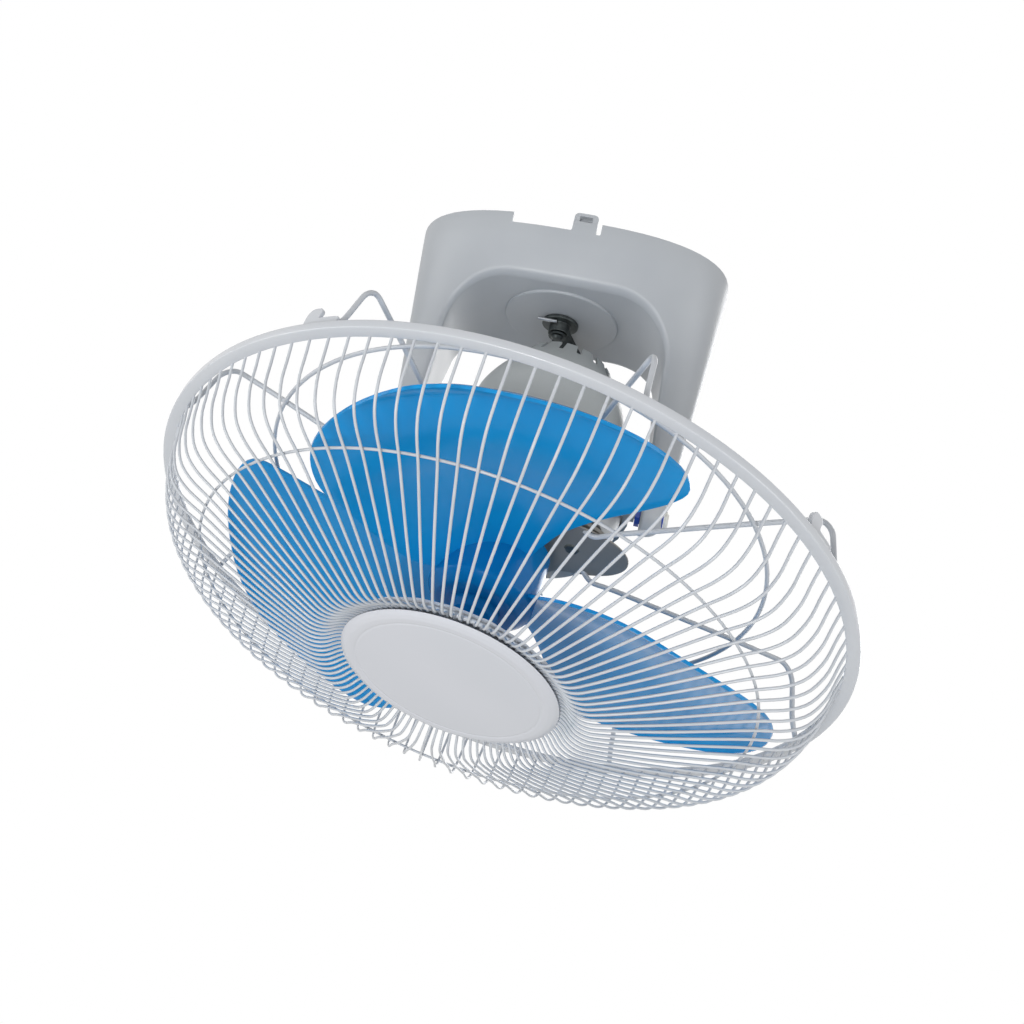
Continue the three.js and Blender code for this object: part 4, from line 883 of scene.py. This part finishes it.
# Snap hooks behind the rim. The side view is [way along the rim, rise over its back]
rimHook = {"places": [-119.7, -36], "seat": -67.2, "radius": 210, "thickness": 2.6, "edge": 0.4,
           "outline": [(6.8, 0), (7.9, 4.5), (8.5, 9.5), (8, 14.5), (5.6, 17.7), (-0.4, 17.5), (-1.8, 15),
                       (-1.2, 12.4), (-0.9, 10), (-11.5, 9.9), (-14.6, 9.6), (-14.6, 0)],
           "bends": [0, 2.2, 2.4, 3, 2.6, 2.2, 1.4, 1.2, 0.9, 2, 0.8, 0], "bendSteps": 4}


def rimHooks(h):
    side = softPairs(h["outline"], h["bends"], h["bendSteps"])
    half = h["thickness"] / 2
    points, faces = prism(side, h["radius"] - half, h["radius"] + half, 1)
    points = [(x, math.sqrt(max(y * y - x * x, 0)), z + h["seat"]) for x, y, z in points]
    for k, place in enumerate(h["places"]):
        form = solid(*shifted((points, faces), Matrix.Rotation(math.radians(place - 90), 4, "Z")))
        node = f"rim_hook_{k + 1}"
        finished(form, f"rimHook{k + 1}", headFrame, "head", rimStyrene, [node], edge=h["edge"])


rimHooks(rimHook)
print("rim hooks made")

# Crank: a flanged sleeve under the roof, a link and the slanted shaft, of one piece of steel
crank = {"flangeRadius": 12, "flangeHeight": 2.4, "sleeveRadius": 6.8, "top": 124.05, "sleeve": 9,
         "bore": 4.55, "link": 3.2, "linkHeight": 112.8, "linkReach": 26.5, "haunch": 6.6, "linkRound": 7.4,
         "arcSteps": 24, "shaftRadius": 5, "shaftEnd": 83.5, "tilt": 13.3, "phase": 65.6, "soft": 0.5,
         "overrun": 1, "segments": 64}


def linkOutline(c):
    outline = []
    for centre, radius, start in ((-c["linkReach"], c["haunch"], 90), (0, c["linkRound"], -90)):
        for i in range(c["arcSteps"] + 1):
            turn = math.radians(start + 180 * i / c["arcSteps"])
            outline.append((centre + radius * math.cos(turn), radius * math.sin(turn)))
    return outline


def crankPiece(c):
    low = c["top"] - c["sleeve"]
    under = c["top"] - c["flangeHeight"]
    sleeve = [(0, low), (c["sleeveRadius"], low), (c["sleeveRadius"], under), (c["flangeRadius"], under),
              (c["flangeRadius"], c["top"]), (0, c["top"])]
    leaning = Matrix.Rotation(math.radians(c["tilt"]), 4, "Y")
    link = shifted(prism(linkOutline(c), c["linkHeight"], c["linkHeight"] + c["link"]), leaning)
    shaft = shifted(rod(c["shaftRadius"], c["shaftEnd"], c["linkHeight"] + c["link"] / 2), leaning)
    form = combined(solid(*turned(sleeve, c["segments"], closed=False, bend=c["soft"])), "UNION",
                    [solid(*link), solid(*shaft)])
    bore = rod(c["bore"], low - c["link"], c["top"] + c["overrun"])
    form = combined(form, "DIFFERENCE", [solid(*bore)])
    matrix = yokeFrame @ Matrix.Rotation(math.radians(c["phase"]), 4, "Z")
    finished(form, "crankArm", matrix, "crank", oiledSteel, ["crank"])


crankPiece(crank)
print("crank made")


# Pieces whose CAD form is right: a soft edge and the right finish
def dress(names, material, edge=0.35, sharp=32):
    for name in names:
        node = nodes[name]
        node.data.materials.clear()
        node.data.materials.append(material)
        for polygon in node.data.polygons:
            polygon.use_smooth = True
        node.data.set_sharp_from_angle(angle=math.radians(sharp))
        soft = node.modifiers.new("soft edge", "BEVEL")
        soft.width = edge * mm
        soft.segments = 2
        soft.limit_method = "ANGLE"
        soft.angle_limit = math.radians(sharp)
        soft.use_clamp_overlap = True


dress(["gimbal_ring"], ringAbs, 0.5)
dress(["badge_clamp"], rimStyrene)
dress(["blade_nut"], hubSan)
dress(["pivot_bush_right", "pivot_bush_left"], bushNylon)
dress(["pivot_cap_right", "pivot_cap_left", "terminal_block"], capNylon)
dress(["hanger_bracket", "crank_cross_pin", "pivot_pin_right", "pivot_pin_left", "ring_pin_rear",
       "ring_pin_front", "bearing_rear", "bearing_front", "motor_shaft"], zincPlate, 0.2)
dress(numbered("hanger_screw", 4) + numbered("lid_screw", 3), zincPlate, 0.2)
dress(["crank_spigot", "spigot_washer", "spigot_screw"] + numbered("leg_screw", 4), oiledSteel, 0.3)
dress(["gearbox_case", "gearbox_lid"], dieCast)
dress(["stator_core", "rotor_core"], stackedSteel)
dress(["winding_rear", "winding_front"], copperWire)
print("CAD pieces dressed")

# Studio: white behind everything, a pale floor far below, and soft lamps that are not seen
studio = {
    "floorDrop": 2.7,      # metres below the ceiling face
    "floorSize": 18,
    "floorGlow": 0.6,      # share of plain white in the floor, where the camera sees it
    "surroundings": 0.38,  # strength of the light from all round
    "aim": (0, 0, -0.2),
    # name, place and size in metres, power in watts
    "lamps": [("front", (-0.3, -2.3, -1.7), 0.9, 43), ("left", (-2.2, -1.0, -0.3), 1.6, 15),
              ("right", (2.2, -0.9, -0.3), 1.6, 13), ("rear", (0.6, 2.2, 0.9), 1.8, 22)],
}


def seenDirectly(tree):
    rays = addNode(tree, "ShaderNodeLightPath")
    shown = addNode(tree, "ShaderNodeMath", {"operation": "MAXIMUM"},
                    {0: rays.outputs["Is Camera Ray"], 1: rays.outputs["Is Glossy Ray"]})
    shown = addNode(tree, "ShaderNodeMath", {"operation": "MAXIMUM"},
                    {0: shown.outputs[0], 1: rays.outputs["Is Transmission Ray"]})
    return shown.outputs[0]


def mixedShader(tree, share, first, second):
    links = {0: share, 1: first.outputs[0], 2: second.outputs[0]}
    return addNode(tree, "ShaderNodeMixShader", links=links).outputs[0]


def addSurroundings(s):
    world = bpy.data.worlds.new("studio")
    world.use_nodes = True
    bpy.context.scene.world = world
    tree = world.node_tree
    tree.nodes.clear()
    soft = addNode(tree, "ShaderNodeBackground", {"Color": linear("#FFFFFF"), "Strength": s["surroundings"]})
    white = addNode(tree, "ShaderNodeBackground", {"Color": linear("#FFFFFF"), "Strength": 1})
    mixed = mixedShader(tree, seenDirectly(tree), soft, white)
    addNode(tree, "ShaderNodeOutputWorld", links={"Surface": mixed})


def addFloor(s):
    material = bpy.data.materials.new("pale floor")
    material.use_nodes = True
    tree = material.node_tree
    tree.nodes.clear()
    matt = addNode(tree, "ShaderNodeBsdfDiffuse", {"Color": linear("#F2F2F0")})
    glow = addNode(tree, "ShaderNodeEmission", {"Color": linear("#FFFFFF"), "Strength": 1})
    share = addNode(tree, "ShaderNodeMath", {"operation": "MULTIPLY", 1: s["floorGlow"]},
                    {0: seenDirectly(tree)})
    mixed = mixedShader(tree, share.outputs[0], matt, glow)
    addNode(tree, "ShaderNodeOutputMaterial", links={"Surface": mixed})
    half = s["floorSize"] / 2
    mesh = bpy.data.meshes.new("floor")
    corners = [(-half, -half, 0), (half, -half, 0), (half, half, 0), (-half, half, 0)]
    mesh.from_pydata(corners, [], [(0, 1, 2, 3)])
    floor = bpy.data.objects.new("floor", mesh)
    floor.location.z = -s["floorDrop"]
    mesh.materials.append(material)
    bpy.context.scene.collection.objects.link(floor)


def addLamps(s):
    for name, spot, size, power in s["lamps"]:
        lamp = bpy.data.lights.new(name, "AREA")
        lamp.shape = "DISK"
        lamp.size = size
        lamp.energy = power
        holder = bpy.data.objects.new(name, lamp)
        bpy.context.scene.collection.objects.link(holder)
        holder.location = spot
        way = Vector(s["aim"]) - Vector(spot)
        holder.rotation_euler = way.to_track_quat("-Z", "Y").to_euler()
        holder.visible_camera = False


addSurroundings(studio)
addFloor(studio)
addLamps(studio)
bpy.context.scene.view_settings.view_transform = "Standard"
print("studio set")
